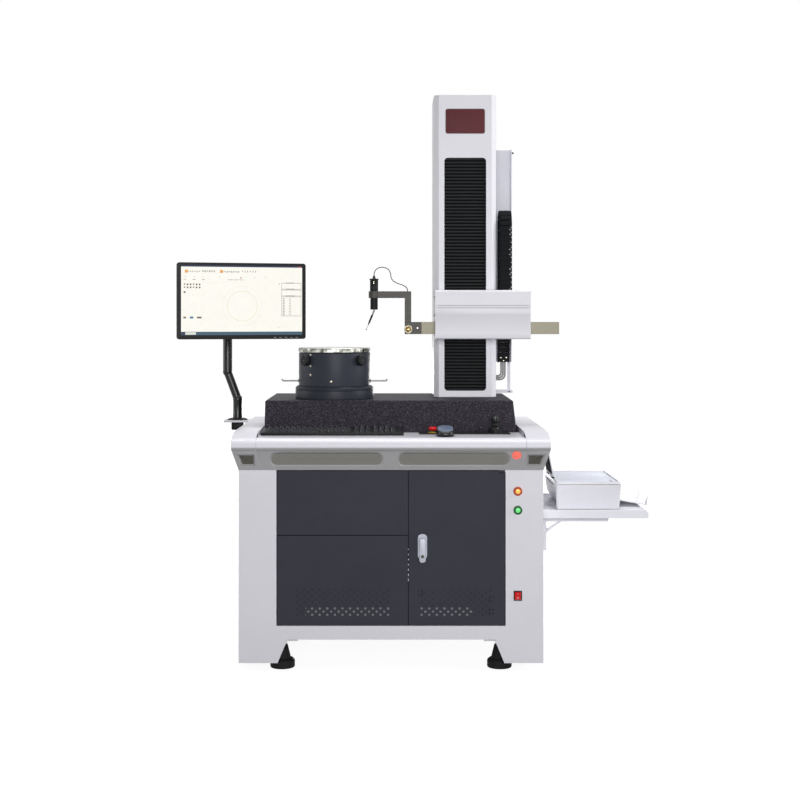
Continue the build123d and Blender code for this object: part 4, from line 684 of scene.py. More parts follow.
def vented_panel(node, body, first_x, columns):
    """A pan of sheet steel whose front holds the vented field, in place of a CAD panel."""
    low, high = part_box(node)
    left, right = first_x - vent_step_x / 2, first_x + (columns - 0.5) * vent_step_x
    field = corners_of(left, right, vent_bottom, vent_top)
    if node == "door":
        x, bottom, top = high[0], low[2] + 0.007, high[2] - 0.001
        notch_x, notch_z = x - 0.018, top - 0.0075
        corners = [(low[0], bottom), (x, bottom), (x, notch_z), (notch_x, notch_z), (notch_x, top),
                   (low[0], top)]
        field[3:3] = [(right - 0.001, vent_top), (right - 0.002, vent_top)]
        lit_share = (0.0, 0.72)
    else:
        corners = corners_of(low[0], high[0], low[2], high[2])
        lit_share = (0.12, 0.98)
    outer, inner = rounded(corners, 0.0015, 4), rounded(field, 0.00001, 4)
    fold, back, y = inset(outer, sheet), high[1], front_y
    rings = rings_at([
        (outer, back), (outer, y + 0.0012), (inset(outer, 0.0004), y + 0.0004), (inset(outer, 0.0012), y),
        (inner, y), (inner, y + sheet), (inset(fold, 0.0004), y + sheet), (fold, back),
    ], 1)
    # Behind the vents: a sheet of painted shade and a pale strip of painted light
    panel_backing(node, body, left, right, lit_share)
    parts = [loop(rings), vent_cells(first_x, columns)] + vent_ends(left, right)
    piece(node + "_skin", parts, dark_coat, body, node, angle=20)


def seam_catches():
    """A dark strip of painted shade behind the seam between the lower panel and the door, and the small
    catches that show in it.
    """
    door_low, door_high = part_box("door")
    panel_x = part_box("lower_front_panel")[1][0]
    x = (door_low[0] + panel_x) / 2
    # The dark strip stands for the shade in the gap: painted shade
    shade_strip = brick((panel_x + 0.0001, front_y + 0.0026, door_low[2] + 0.008),
                 (door_low[0] - 0.0003, front_y + 0.0036, door_high[2] - 0.002), 0.0002, 1)
    piece("seam_painted_shade", [shade_strip], foot_rubber)
    parts = [brick((x - 0.0012, front_y - 0.0006, z - half), (x + 0.0012, front_y + 0.004, z + half), 0.0003)
             for z, half in zip(spread(7, 0.301, 0.401), spread(7, 0.004, 0.0016))]
    piece("seam_catches", parts, zinc)


def rear_details():
    """The rear sheet with its screws and louvres, and the computer case behind it."""
    softened("rear_panel", white_coat, width=0.0006)
    softened("computer_case", black_plastic, width=0.003)
    low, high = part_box("rear_panel")
    head = mm((-1, 5), (0.1, 5), (0.3, 4.2), (0.3, 2), (-0.4, 1.8))
    heads = [turned(head, seat((x, high[1], z), (-1, 0, 0)), 20)
             for x in spread(5, low[0] + 0.012, high[0] - 0.012) for z in (low[2] + 0.012, high[2] - 0.012)]
    y = high[1]
    louvres = [brick((x - 0.045, y - 0.0002, z - 0.003), (x + 0.045, y + 0.0003, z + 0.003), 0.0001)
               for x in (-0.2, -0.08, 0.08, 0.2) for z in spread(9, 0.45, 0.56)]
    piece("rear_screws", heads, bright_metal)
    piece("rear_louvres", louvres, foot_rubber)


def cabinet():
    """The cabinet with its rounded edges, panels, catches, side pads and rear sheet."""
    softened("cabinet_frame", white_coat, width=0.0016).data.shade_flat()
    softened("upper_front_panel", dark_coat, width=0.0012)
    vented_panel("lower_front_panel", "stand", -0.3085, 13)
    vented_panel("door", "door", 0.1005, 10)
    seam_catches()
    x, _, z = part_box("door")[1]
    lug = brick((x - 0.0172, front_y + 0.0002, z - 0.0072), (x, front_y + 0.0011, z + 0.0008), 0.0002, 1)
    piece("lug_cover", [lug], dark_coat)
    pad = eased(mm((-1, 11), (3, 11), (4.5, 9.5), (4.5, 4)), 0.001)
    side_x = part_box("cabinet_frame")[1][0]
    pads = [turned(pad, seat((side * side_x, -0.3, 0.648), (0, side, 0)), 32) for side in (-1, 1)]
    piece("side_pads", pads, foot_rubber)
    rear_details()


foot_x, foot_y = 0.361, 0.282


def levelling_feet():
    """Four feet: a ribbed rubber pad, a cone, a jam nut and a stud."""
    pad = mm((0, 39.5), (2, 41), (9, 41), (10.5, 39.8), (12, 41), (22, 41), (28.5, 35), (30, 30))
    pad = eased(pad, 0.0012, 4)
    cone = eased(mm((29.8, 27), (36, 26.5), (68, 18.5), (74, 17)), 0.003, 4)
    stud = mm((73, 7.8), (97.5, 7.8))
    nut = eased(mm((74, 12.5), (75, 14.8), (84, 14.8), (85, 12.5)), 0.0006)
    black, steel = [], []
    for x in (-foot_x, foot_x):
        for y in (-foot_y, foot_y):
            place = upright(x, y)
            black += [turned(pad, place, 56), turned(cone, place, 48)]
            steel += [turned(stud, place, 20), turned(nut, place, 6)]
    piece("feet_skin", black, foot_rubber, node="levelling_feet", angle=28)
    piece("feet_studs", steel, bright_metal)


def latch():
    """The latch: an oblong cast escutcheon, a lever lying in it with a curled upper end, and a round lock."""
    low, high, (middle_x, _, middle_z), (width, _, height) = span("latch_body")
    plate, dish = (rectangle(width - less, height - less, (middle_x, middle_z), (width - less) * 0.498, 12)
                   for less in (0, 0.006))
    parts = [frame_between(plate, dish, -high[1], -low[1], 0.0014, front_view, 4),
             slab(dish, -high[1], -low[1] - 0.0014, 0.0002, front_view, 1, both=False)]
    piece("latch_plate", parts, zinc, "door", "latch_body")
    low, high, middle, (width, thick, height) = span("latch_handle")
    outline = rectangle(width, height, (middle[0], middle[2]), width * 0.44, 10)
    points, faces = slab(outline, -high[1], -low[1], 0.0022, front_view, 5)
    share = (points[:, 2] - low[2]) / height
    proud = np.interp(share, [0, 0.1, 0.74, 0.84, 0.93, 1], [0.62, 0.78, 0.78, 1.0, 0.96, 0.55])
    points[:, 1] = high[1] - (high[1] - points[:, 1]) * proud
    piece("latch_lever", [(points, faces)], zinc, "latch_handle", "latch_handle", angle=40)
    place = facing(middle_x, high[1] - thick * 0.78, low[2] + 0.0205)
    rim = mm((-2, 6), (0.5, 6), (0.8, 5.4), (0.4, 4.7), (-2, 4.7))
    piece("latch_lock_rim", [turned(rim, place, 36, closed=True)], satin_metal, "latch_handle")
    piece("latch_lock", [turned(mm((-2, 4.8), (0.1, 4.7), (0.1, 1)), place, 36)], dark_metal, "latch_handle")


def lit_button(node, glow, rim):
    """A round lit button: a bright dome within a darker ring."""
    low, _, (x, _, z), _ = span(node)
    place = facing(x, low[1], z)
    ring = [(low[1] - front_y - 0.004, 0.0113), *mm((-4.5, 11.3), (-3.8, 10.4), (-2.6, 8.2), (-3, 7))]
    dome = mm((-3.2, 7.9), (-1.6, 7.6), (-0.6, 5.8), (-0.2, 3.2), (0, 0.6))
    piece(node + "_ring", [turned(ring, place, 48)], rim, node, node, angle=40)
    piece(node + "_lens", [turned(dome, place, 48)], glow, node, angle=40)


amber_z, green_z = 0.592, 0.53


def post_switches():
    """The two lit buttons in their bezels, and the rocker below them, on the right post."""
    lit_button("amber_button", amber_lens, amber_collar)
    lit_button("green_button", green_lens, green_collar)
    low, high, (x, _, z), _ = span("rocker_switch")
    bezel = mm((0, 14.9), (3.5, 14.9), (5.6, 13.9), (6.2, 12.6), (5.2, 11.8), (0, 11.7))
    amber, green = ([turned(bezel, facing(x, front_y, height), 56, closed=True)]
                    for height in (amber_z, green_z))
    piece("lamp_bezels", amber, amber_collar, node="switch_bezels", angle=40)
    piece("lamp_bezel_green", green, green_collar, angle=40)
    rocker(low, high, x, z)


def rocker(low, high, x, z):
    """The rocker's frame on the post, and its red face, hollow in the middle, with its two marks."""
    outer, inner = rectangle(0.0275, 0.033, (x, z), 0.0025), rectangle(0.0214, 0.0282, (x, z), 0.001)
    rim = frame_between(outer, inner, -front_y, -front_y + 0.002, 0.0008, front_view)
    piece("rocker_frame", [rim], black_plastic)
    back = front_y + 0.006
    side = rounded([(back, low[2]), (low[1], low[2]), (low[1] + 0.0016, z), (low[1], high[2]),
                    (back, high[2]), (back + 0.002, z)], 0.0012, 4)
    face = slab(side, low[0], high[0], 0.0006, side_view)
    piece("rocker_face", [face], red_plastic, "rocker_switch", "rocker_switch")
    mark = brick((x - 0.0006, low[1] - 0.0001, z + 0.0045), (x + 0.0006, low[1] + 0.0018, z + 0.0085), 0.0001)
    ring = mm((0, 2.6), (0.4, 2.5), (0.4, 1.9), (0, 1.8))
    ring = turned(ring, facing(x, low[1] + 0.0004, z - 0.0065), 24, closed=True)
    piece("rocker_marks", [mark, ring], white_moulding, "rocker_switch")


# Console: its fascia leans back by so much over its height
fascia_lean, fascia_rise, fascia_foot_z = 0.034, 0.066, 0.661


def fascia_lamp():
    """The red lamp low on the right of the fascia, square to the slope."""
    place = seat(span("fascia_lamp")[2], (1, 0, 0), (0, -fascia_lean, fascia_rise))
    profile = mm((-5, 15), (2.6, 15), (3.4, 13.8), (3.4, 11.5), (2.6, 11.2), (3, 10), (4.2, 7), (4.7, 3),
                 (4.8, 0.5))
    piece("fascia_lamp_lens", [turned(profile, place, 56)], lamp_red, node="fascia_lamp", angle=40)


def fascia_rings(outline, rows):
    """Rings of points behind the fascia's slope from an outline in X and Z and rows of (depth, inset)."""
    rings = rings_at([(inset(outline, amount), depth) for depth, amount in rows], 1)
    rings[..., 1] += front_y - fascia_lean * (rings[..., 2] - fascia_foot_z) / fascia_rise
    return rings


def pocket(outline, width):
    """The drafted rim of a recess, of a given width, and the floor inside it, as two skins."""
    rim = [(0.008, 0.0002), (0.0008, 0.0002), (0.0005, 0.001), (0.0062, width), (0.008, width)]
    floor = [(0.0082, width - 0.001), (0.0066, width - 0.001), (0.0064, width), (0.0064, width + 0.0005)]
    return loop(fascia_rings(outline, rim)), stack(fascia_rings(outline, floor))


def paint_faces(shape, material, chosen):
    """Gives a second material to the faces of a piece whose normals are chosen."""
    mesh = shape.data
    mesh.materials.append(material)
    normals = np.empty(len(mesh.polygons) * 3)
    mesh.polygons.foreach_get("normal", normals)
    mesh.polygons.foreach_set("material_index", chosen(normals.reshape(-1, 3)).astype(int))


def sloping(normals):
    """The faces under the console's roll, which look forward and down and take the darker grey as painted
    shade.
    """
    return (normals[:, 1] < -0.5) & (normals[:, 2] < -0.25)


def cap_seam(x):
    """A dark plate in the joint between the console and an end cap, 0.9 mm below the roll and the slope."""
    a = np.linspace(radians(112), pi, 24)
    roll = np.column_stack([-0.265 + 0.1271 * np.cos(a), 0.745 + 0.0391 * np.sin(a)])
    outline = np.vstack([roll, [(-0.39, 0.736), (-0.3829, 0.7272), (-0.3492, 0.6622), (-0.34, 0.6622)]])
    return slab(outline, x - 0.0007, x + 0.0007, 0.0002, side_view, 1)


def console():
    """The moulded console and its deck, the end caps' seams, and the skins in its pockets and windows. The
    faces under the roll, the pocket rims and the pocket floors are darker grey as painted shade.
    """
    for node, width in (("console_front", 0.0025), ("console_ends", 0.0035)):
        # The faces under the roll take the mid grey as painted shade
        paint_faces(softened(node, white_moulding, width=width, segments=3), grey_and_painted_shade, sloping)
    softened("console_deck", deck_coat, width=0.001)
    piece("cap_seams", [cap_seam(-0.44), cap_seam(0.44)], soft_black)
    pockets = [rounded(corners_of(x0, x1, 0.6723, 0.7237), 0.034, 12)
               for x0, x1 in ((-0.3977, -0.0253), (0.0203, 0.3897))]
    rims, floors = zip(*[pocket(outline, 0.0062) for outline in pockets])
    window = np.array([(0.4463, 0.6773), (0.4897, 0.6773), (0.5017, 0.7147), (0.4463, 0.7147)])
    windows = [rounded(window, 0.006), rounded(window[::-1] * (-1, 1), 0.006)]
    frames, inserts = zip(*[pocket(outline, 0.0042) for outline in windows])
    # The pockets' rims and floors are darker greys as painted shade in the recesses
    piece("pocket_rims", rims + frames, grey_and_painted_shade)
    piece("pocket_floors", floors, pocket_painted_shade)
    piece("window_inserts", inserts, window_moulding)
    fascia_lamp()


def granite_block():
    """The granite base with its small ground chamfers."""
    low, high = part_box("granite_base")
    left, right, top, chamfer = low[0] + 0.004, high[0] - 0.017, high[2], 0.003
    outline = np.array([(low[0], low[2]), (high[0], low[2]), (right + 0.0006, top - chamfer),
                        (right - chamfer, top), (left + chamfer, top), (left - 0.0001, top - chamfer)])
    block = slab(outline, -high[1], -low[1], chamfer, front_view, 1)
    piece("granite_block", [block], granite, node="granite_base", angle=20)


# Rotary table
def from_table_axis(azimuth, height, radius=0.0):
    """A seat whose outward axis leaves the table's axis level, at an azimuth in degrees."""
    out = np.array([cos(radians(azimuth)), sin(radians(azimuth)), 0.0])
    return seat((table_x, table_y, height) + out * radius, np.cross((0, 0, 1), out))


def rotary_base():
    """The fixed foot of the table: a broad ring with a groove under its shoulder, and cap screws."""
    radius = table_size[0] / 2
    bottom = mm((0, -1.5), (2, 0)) + (table_low[2], radius)
    shoulder = mm((-14.6, 0), (-14.1, -3), (-12.1, -3), (-11.6, 0), (-6.6, 0), (0, -6.6))
    profile = eased(np.vstack([bottom, shoulder + (table_high[2], radius)]), 0.0006)
    foot = turned(profile, upright(table_x, table_y), 144)
    piece("table_foot", [foot], foot_coat, node="table_base")
    places = [from_table_axis(a, table_low[2] + 0.016, radius - 0.0015) for a in range(-150, 180, 60)]
    piece("table_foot_screws", screws(places, 0.0032), bright_metal)


def rotary_housing():
    """The turning housing: a plain dark drum with small bright screws and black plugs."""
    _, high, _, size = span("table_housing")
    radius = size[0] / 2
    profile = np.vstack([mm((0.4, -1.2), (1.4, 0)) + (table_high[2], radius),
                         mm((-2.6, 0), (-0.4, -2.4)) + (high[2], radius)])
    drum = turned(eased(profile, 0.0005), upright(table_x, table_y), 160)
    piece("table_drum", [drum], table_coat, "rotor", "table_housing")
    places = [(a, z) for a in (-129, 51) for z in (0.9625, 0.9935, 1.0315)] + [(-93, 0.9405), (87, 0.9405)]
    heads = screws([from_table_axis(a, z, radius - 0.0006) for a, z in places], 0.0034)
    piece("table_screws", heads, cream_metal, "rotor")
    plugs = [turned(mm((-2, 3.6), (0.2, 3.3), (0.3, 1.2)), from_table_axis(a, 0.9515, radius), 24)
             for a in (-127.5, 52.5)]
    piece("table_plugs", plugs, foot_rubber, "rotor")


def table_levers():
    """Two bright levers with upturned tips, on short collars."""
    low, _, _, size = span("table_levers")
    z, turn = low[2] + 0.00275, 0.0042
    rods, collars = [], []
    for side, azimuth in ((-1, 180), (1, 0)):
        end = table_x + side * (size[0] / 2 - 0.00275)
        line = [(table_x + side * 0.118, table_y, z)]
        line += [(end - side * turn * (1 - sin(a)), table_y, z + turn * (1 - cos(a)))
                 for a in np.linspace(0, pi / 2, 9)]
        rods.append(tube(line + [(end, table_y, z + 0.0062)], 0.00272, 20))
        collars.append(turned(mm((124.5, 7), (127.2, 7), (127.8, 6.2)), from_table_axis(azimuth, z), 32))
    piece("table_rods", rods, satin_metal, "rotor", "table_levers")
    piece("table_collars", collars, dark_metal, "rotor")


def work_plate():
    """The ground work table: an eased rim whose faces take painted reflection, four fine grooves, a bore, and
    a pattern of tapped holes and a notch drawn as black marks of painted shade.
    """
    low, high, (x, y, _), size = span("work_table")
    radius, top = size[0] / 2, high[2]
    rim = mm((-4.5, 0), (-4, -0.8), (-3.2, -0.8), (-2.7, 0), (-1.6, 0), (0, -1.6)) + (top, radius)
    rim = eased(np.vstack([mm((0, -2.2), (1.8, 0)) + (low[2], radius), rim]), 0.0003)
    grooves = [mm((0, 0.7), (-0.4, 0), (0, -0.7)) + (top, groove) for groove in (0.108, 0.084, 0.06, 0.036)]
    bore = mm((0, 7.5), (-2, 6), (-6, 5.8)) + (top, 0)
    disc = turned(np.vstack([rim, *grooves, bore]), upright(x, y), 160)
    plate = piece("work_disc", [disc], plate_metal, "work_table", "work_table", angle=18)
    # The rim's faces take the dark patches as painted reflection
    paint_faces(plate, rim_painted_reflection, lambda normals: np.abs(normals[:, 2]) < 0.6)
    # The tapped holes and the rim's notch are black marks of painted shade
    hole = mm((-1, 3.4), (0.1, 3.2), (0.15, 1.2))
    holes = [turned(hole, upright(x + r * cos(a), y + r * sin(a), top), 16)
             for r in (0.048, 0.096) for a in np.radians(np.arange(22.5, 360, 45))]
    left = x + radius * 0.8
    notch = brick((left, y - radius * 0.615, top - 0.0125),
                  (left + 0.005, y - radius * 0.565, top - 0.0035), 0.0003)
    piece("work_holes_painted_shade", holes + [notch], foot_rubber, "work_table")


def centring_knob(node):
    """A fluted black knob on a dark sleeve, pointing outward from the table's axis."""
    _, _, (x, _, z), size = span(node)
    place = from_table_axis(-45 if x > table_x else -135, z)
    radius, face, end, flutes = size[2] / 2, 0.1282, 0.1458, 30
    unit = around(flutes * 6)
    angle = np.linspace(0, 2 * pi, len(unit), endpoint=False)
    ripple = 0.0006 * (0.5 - 0.5 * np.cos(flutes * angle))[:, None] ** 2
    front = mm((0, -2.2), (0.8, -0.6), (2.2, 0)) + (face, radius)
    back = mm((-4, 0), (-2.6, -0.6), (-0.6, -2), (0, -3.4), (0, -6), (-0.8, -6.8)) + (end, radius)
    rows = np.vstack([front, back, [(end - 0.0008, 0.003)]])
    rings = rings_at([(unit * (r - ripple * (number in (2, 3))), h) for number, (h, r) in enumerate(rows)])
    piece(node + "_grip", [stack(placed(rings, place))], black_plastic, node, node, angle=25)
    sleeve = eased([(0.1235, 0.004), (0.1268, 0.004), (0.127, 0.0062), (face + 0.0004, 0.0062)], 0.0003)
    parts = [turned(sleeve, place, 36), turned(mm((-1, 2.8), (-0.4, 2.6), (-0.4, 1)) + (end, 0), place, 24)]
    piece(node + "_sleeve", parts, dark_metal, node)


def rotary_table():
    """The whole rotary table."""
    rotary_base()
    rotary_housing()
    table_levers()
    softened("cross_slide", dark_metal, "cross_slide")
    work_plate()
    centring_knob("centring_knob_left")
    centring_knob("centring_knob_right")


# Column, bellows and display
def column():
    """The column's sheet housing, the guide inside it, and the display in its window."""
    softened("column_housing", white_coat, width=0.0014).data.shade_flat()
    softened("guide_column", inner_metal, width=0.001)
    low, _, (x, _, z), (width, _, height) = span("display_window")

    def outline(less, radius):
        """The window's outline, smaller than the CAD window by an amount."""
        return rectangle(width - less, height - less, (x, z), radius, 8)

    pane = slab(outline(0.01, 0.009), -low[1] - 0.003, -low[1], 0.0004, front_view, 2, both=False)
    piece("display_pane", [pane], display_plastic, node="display_window")
    rim = frame_between(outline(0.007, 0.0103), outline(0.0106, 0.0088), -low[1] - 0.002, -low[1] + 0.0004,
                        0.0006, front_view)
    piece("display_rim", [rim], grey_moulding)


def pleated(node, name, fixed_z, moving_z):
    """A bellows of rounded pleats: a sheet whose section is a wave down the window.

    The depth of a fold is 1 - w^3, w being a raised cosine down the window: broad ridges between narrow
    valleys. Its ends are tucked in at both sides by a quarter circle.
    """
    low, high, _, size = span(node)
    pleats = round(size[2] / 0.0117)
    z = np.linspace(low[2], high[2], pleats * 10 + 1)
    wave = 0.5 - 0.5 * np.cos(2 * pi * pleats * (z - low[2]) / size[2])
    front = high[1] - 0.0052 - (size[1] - 0.0062) * (1 - wave ** 3)
    side, tuck = np.array([0.0, 0.0015, 0.004, 0.008]), np.array([0.006, 0.0028, 0.0008, 0])
    x = [*(low[0] + side), *(high[0] - side[::-1]), high[0], low[0]]
    y = [np.minimum(front + t, high[1] - 0.001) for t in (*tuck, *tuck[::-1])]
    y += [np.full(len(z), high[1])] * 2
    rings = rings_at([(np.column_stack([depth, z]), across) for across, depth in zip(x, y)], 0)
    piece(name, [stack(rings.transpose(1, 0, 2))], bellows_cloth, node=node, angle=60,
          blend=((0, 0, fixed_z), (0, 0, moving_z)))


# Drag chain
chain_rear_y, chain_front_y = 0.16, 0.06
chain_bottom, chain_bend, chain_end = 0.999, 1.4875, 1.15
chain_radius = (chain_rear_y - chain_front_y) / 2
chain_rise, chain_turn = chain_bend - chain_bottom, pi * chain_radius
chain_pitch = 0.018


def chain_point(distance):
    """The chain's middle line: its place (y, z) and outward side, a distance up from its fixed end."""
    if distance <= chain_rise:
        return np.array([chain_rear_y, chain_bottom + distance]), np.array([1.0, 0.0])
    if distance <= chain_rise + chain_turn:
        a = (distance - chain_rise) / chain_radius
        side = np.array([cos(a), sin(a)])
        return np.array([(chain_rear_y + chain_front_y) / 2, chain_bend]) + chain_radius * side, side
    return np.array([chain_front_y, chain_bend + chain_rise + chain_turn - distance]), np.array([-1.0, 0.0])


def chain_link(distance, low, high):
    """One link of the chain as skins: two side plates with a boss each, an outer and an inner crossbar."""
    middle, side = chain_point(distance)
    along = np.array([-side[1], side[0]])
    back, neck, front, half = -0.62 * chain_pitch, 0.3 * chain_pitch, 0.46 * chain_pitch, 0.0118
    outline = rounded([(back, -half + 0.002), (neck, -half), (front, -half + 0.003), (front, half - 0.003),
                       (neck, half), (back, half - 0.002)], 0.004, 3)

    def plate(shape, centre, x0, x1, edge):
        """A plate square to X, its outline's first direction along the chain."""
        place = seat((0, *centre), (0, *along), (0, *side))
        ends = sorted(place[1][2][0] * x for x in (x0, x1))
        return slab(shape, *ends, edge, place, 1)

    skins = []
    for x, out in ((low, -1), (high, 1)):
        skins.append(plate(outline, middle, x, x - out * 0.0031, 0.0005))
        boss = seat((x - out * 0.0004, *(middle + along * chain_pitch * 0.2)), (0, 1, 0), (0, 0, out))
        skins.append(turned(mm((-1, 5), (0.1, 5), (0.3, 4), (0.3, 1)), boss, 16))
    for reach, width in ((half - 0.0016, 0.0172), (-half + 0.0016, 0.0096)):
        bar = rectangle(width, 0.0024, (0, 0), 0.0008, 3)
        skins.append(plate(bar, middle + side * reach, low + 0.0028, high - 0.0028, 0.0003))
    return skins


def chain_skins(low, high):
    """The skins of each of the chain's runs, and the pins in the edge of its front run."""
    total = chain_rise + chain_turn + chain_bend - chain_end
    count = round(total / chain_pitch)
    runs = {"rear": [], "bend": [], "front": [], "pins": []}
    for number in range(count):
        place = (number + 0.5) * total / count
        run = "rear" if place < chain_rise else "bend" if place < chain_rise + chain_turn else "front"
        runs[run] += chain_link(place, low, high)
        if run == "front":
            z = chain_point(place)[0][1]
            seats = [(0.0025, 0.0036), (0.0075, -0.0028)][:1 + (number % 4 < 2)]
            runs["pins"] += [turned(mm((10, 1.8), (12.4, 1.8), (12.7, 1.1)),
                                    facing(high - inward, chain_front_y, z + up), 8) for inward, up in seats]
    runs["rear"].append(brick((low, chain_rear_y - 0.011, chain_bottom),
                              (high, chain_rear_y + 0.011, chain_bottom + 0.022)))
    return runs


def drag_chain():
    """The chain in runs: up at the rear, round the bend, and down to the carriage."""
    low, high = (box[0] + inward for box, inward in zip(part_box("drag_chain"), (0.007, -0.004)))
    heads = screws([facing(low + right, chain_rear_y - 0.011, chain_bottom + up)
                    for right, up in ((0.011, 0.016), (0.031, 0.016), (0.021, 0.005))], 0.0021)
    runs = chain_skins(low, high)
    piece("chain_end_screws", heads, cream_metal)
    front = (2 * (chain_bend + chain_radius) - chain_end, chain_end + 0.02)
    spans = {"rear": (chain_bottom, 2 * chain_bend - chain_bottom), "front": front, "pins": front,
             "bend": (chain_bend - 10, chain_bend + 10)}
    for run, skins in runs.items():
        material, slot = (white_moulding, "steel") if run == "pins" else (chain_black, None)
        node = "drag_chain" if run == "front" else None
        piece("chain_" + run, skins, material, node=node, angle=30,
              blend=[(0, 0, z) for z in spans[run]])
    bracket = brick((low, cover_high[1] + 0.0005, chain_end),
                    (high, chain_front_y + 0.004, chain_end + 0.018))
    piece("chain_bracket", [bracket], white_coat, "carriage")


def chain_fixings():
    """The channel behind the chain with its screws, and the three cables below."""
    softened("chain_channel", channel_coat)
    low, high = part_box("chain_channel")
    heads = screws([seat((high[0] - 0.0005, 0.178, high[2] - 0.01), (0, 1, 0))], 0.0034, 0.007)
    heads += screws([facing(low[0] + 0.056, low[1], low[2] + 0.005)], 0.003)
    piece("channel_screws", heads, dark_metal)
    first = np.array([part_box("column_housing")[1][0] + 0.0265, chain_bottom - 0.051, 0.011])
    step = mm(7.2, -6.8, 4)
    y, left = chain_rear_y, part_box("chain_cables")[0][0]
    cables = []
    for number in range(3):
        x, z, turn = first + number * step
        line = [(x - turn * (1 - cos(a)), y, z + turn * (1 - sin(a))) for a in np.linspace(0, pi / 2, 10)]
        cables.append(tube([(x, y, chain_bottom + 0.004), *line, (left, y, z)], 0.00325, 18))
    piece("chain_cable_bundle", cables, grey_cable, node="chain_cables", angle=50)


# Carriage, arm and probe
def carriage():
    """The carriage's cover with its two fine lines and its side pins, and the saddle inside."""
    softened("carriage_cover", white_coat, "carriage", 0.0018, 3)
    softened("carriage_saddle", inner_metal, "carriage")
    x0, x1, y = cover_low[0] + 0.009, cover_high[0] - 0.009, cover_low[1]
    lines = [brick((x0, y - 0.0002, z - 0.0006), (x1, y + 0.002, z + 0.0006), 0.0001, 1)
             for z in (1.1955, 1.204)]
    piece("cover_lines", lines, grey_and_painted_shade, "carriage")
    pins = [turned(mm((-2, 3.4), (1.6, 3.4), (2.4, 2.6), (2.4, 0.8)),
                   seat((cover_low[0], 0.012, z), (0, 1, 0), (0, 0, -1)), 24) for z in (1.235, 1.17, 1.0975)]
    piece("cover_pins", pins, dark_metal, "carriage")


def arm():
    """The measuring arm: the khaki bar, the dark end block, the bracket and their screws."""
    softened("measuring_arm", khaki_metal, "arm", 0.001)
    softened("arm_end_block", dark_metal, "arm", 0.001)
    heads = screws([facing(0.0935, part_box("arm_end_block")[0][1], 1.1245)], 0.003)
    head = mm((-1, 1.9), (0.8, 1.9), (1.4, 1.5), (1.4, 0.6))
    heads.append(turned(head, upright(-0.026, arm_y, bracket_top), 20))
    piece("block_screws", heads, bright_metal, "arm")
    softened("probe_bracket", dark_metal, "arm", 0.0007)


def probe():
    """The probe: body, head with a groove, flange, cable gland and two small pale marks that are painted
    highlights.
    """
    top, flange, place = probe_high[2], probe_size[0] / 2, upright(probe_x, arm_y)
    head_top = top - 0.011
    profile = np.vstack([
        mm((0, 11.8), (1.5, 13.3)) + (probe_low[2], 0), mm((0.5, 13.3), (0.7, 14.5)) + (bracket_top, 0),
        mm((-24, 14.5), (-23.6, 14), (-22.6, 14), (-22.2, 14.5), (-4, 14.5)) + (head_top, 0),
        mm((-3.8, 0), (-0.5, 0), (0, -0.8)) + (head_top, flange),
    ])
    piece("probe_barrel", [turned(eased(profile, 0.0004), place)], black_plastic, "arm", "probe_body")
    gland = eased(mm((-11.5, 6.2), (-8, 6.2), (-7.6, 4.8), (-0.8, 4), (0, 3)) + (top, 0), 0.0006)
    piece("probe_gland", [turned(gland, place, 32)], gloss_black, "arm")
    # Two pale marks on the head: painted highlights
    rows = [brick((probe_x - 0.0022, arm_y - 0.0149, head_top + z0),
                  (probe_x + 0.0006, arm_y - 0.014, head_top + z1), 0.0003, 1)
            for z0, z1 in ((-0.018, -0.014), (-0.0115, -0.0095))]
    piece("probe_painted_highlights", rows, cream_metal, "arm")


stylus_pivot = (probe_x, arm_y, probe_low[2] - 0.004)
stylus_lean = radians(22.6)
stylus_length = 0.075


def stylus():
    """The leaning stylus: a hub, a holder, a dark rod, a bright tip and a small ball at its end."""
    out = np.array([-sin(stylus_lean), 0, -cos(stylus_lean)])
    place = seat(stylus_pivot, (0, 1, 0), np.cross(out, (0, 1, 0)))
    rod = np.vstack([mm((15.5, 3), (17.5, 3.6), (40, 3.3)),
                     mm((-26, 2.4), (-22, 1.4), (-21, 0.8)) + (stylus_length, 0)])
    holder = eased(mm((3, 3), (3.4, 3.6), (10, 3.6), (10.4, 2.8), (16.5, 2.6)), 0.0004)
    hub = eased(mm((-6.4, 3), (-5.8, 4), (5.8, 4), (6.4, 3)), 0.0004)
    tip = mm((-22.5, 1.2), (-5, 0.9)) + (stylus_length, 0)
    angle, ball_radius = np.linspace(0, pi, 12), 0.0025
    ball = ball_radius * np.column_stack([-np.cos(angle), np.sin(angle)]) + (stylus_length - 0.003, 0)
    piece("stylus_rod", [turned(eased(rod, 0.0006), place, 32)], black_plastic, "stylus", "stylus")
    hub_parts = [turned(hub, seat(stylus_pivot), 32), turned(holder, place, 32), turned(tip, place, 16)]
    piece("stylus_hub", hub_parts, satin_metal, "stylus")
    piece("stylus_ball", [turned(ball, place, 28)], satin_metal, "stylus")


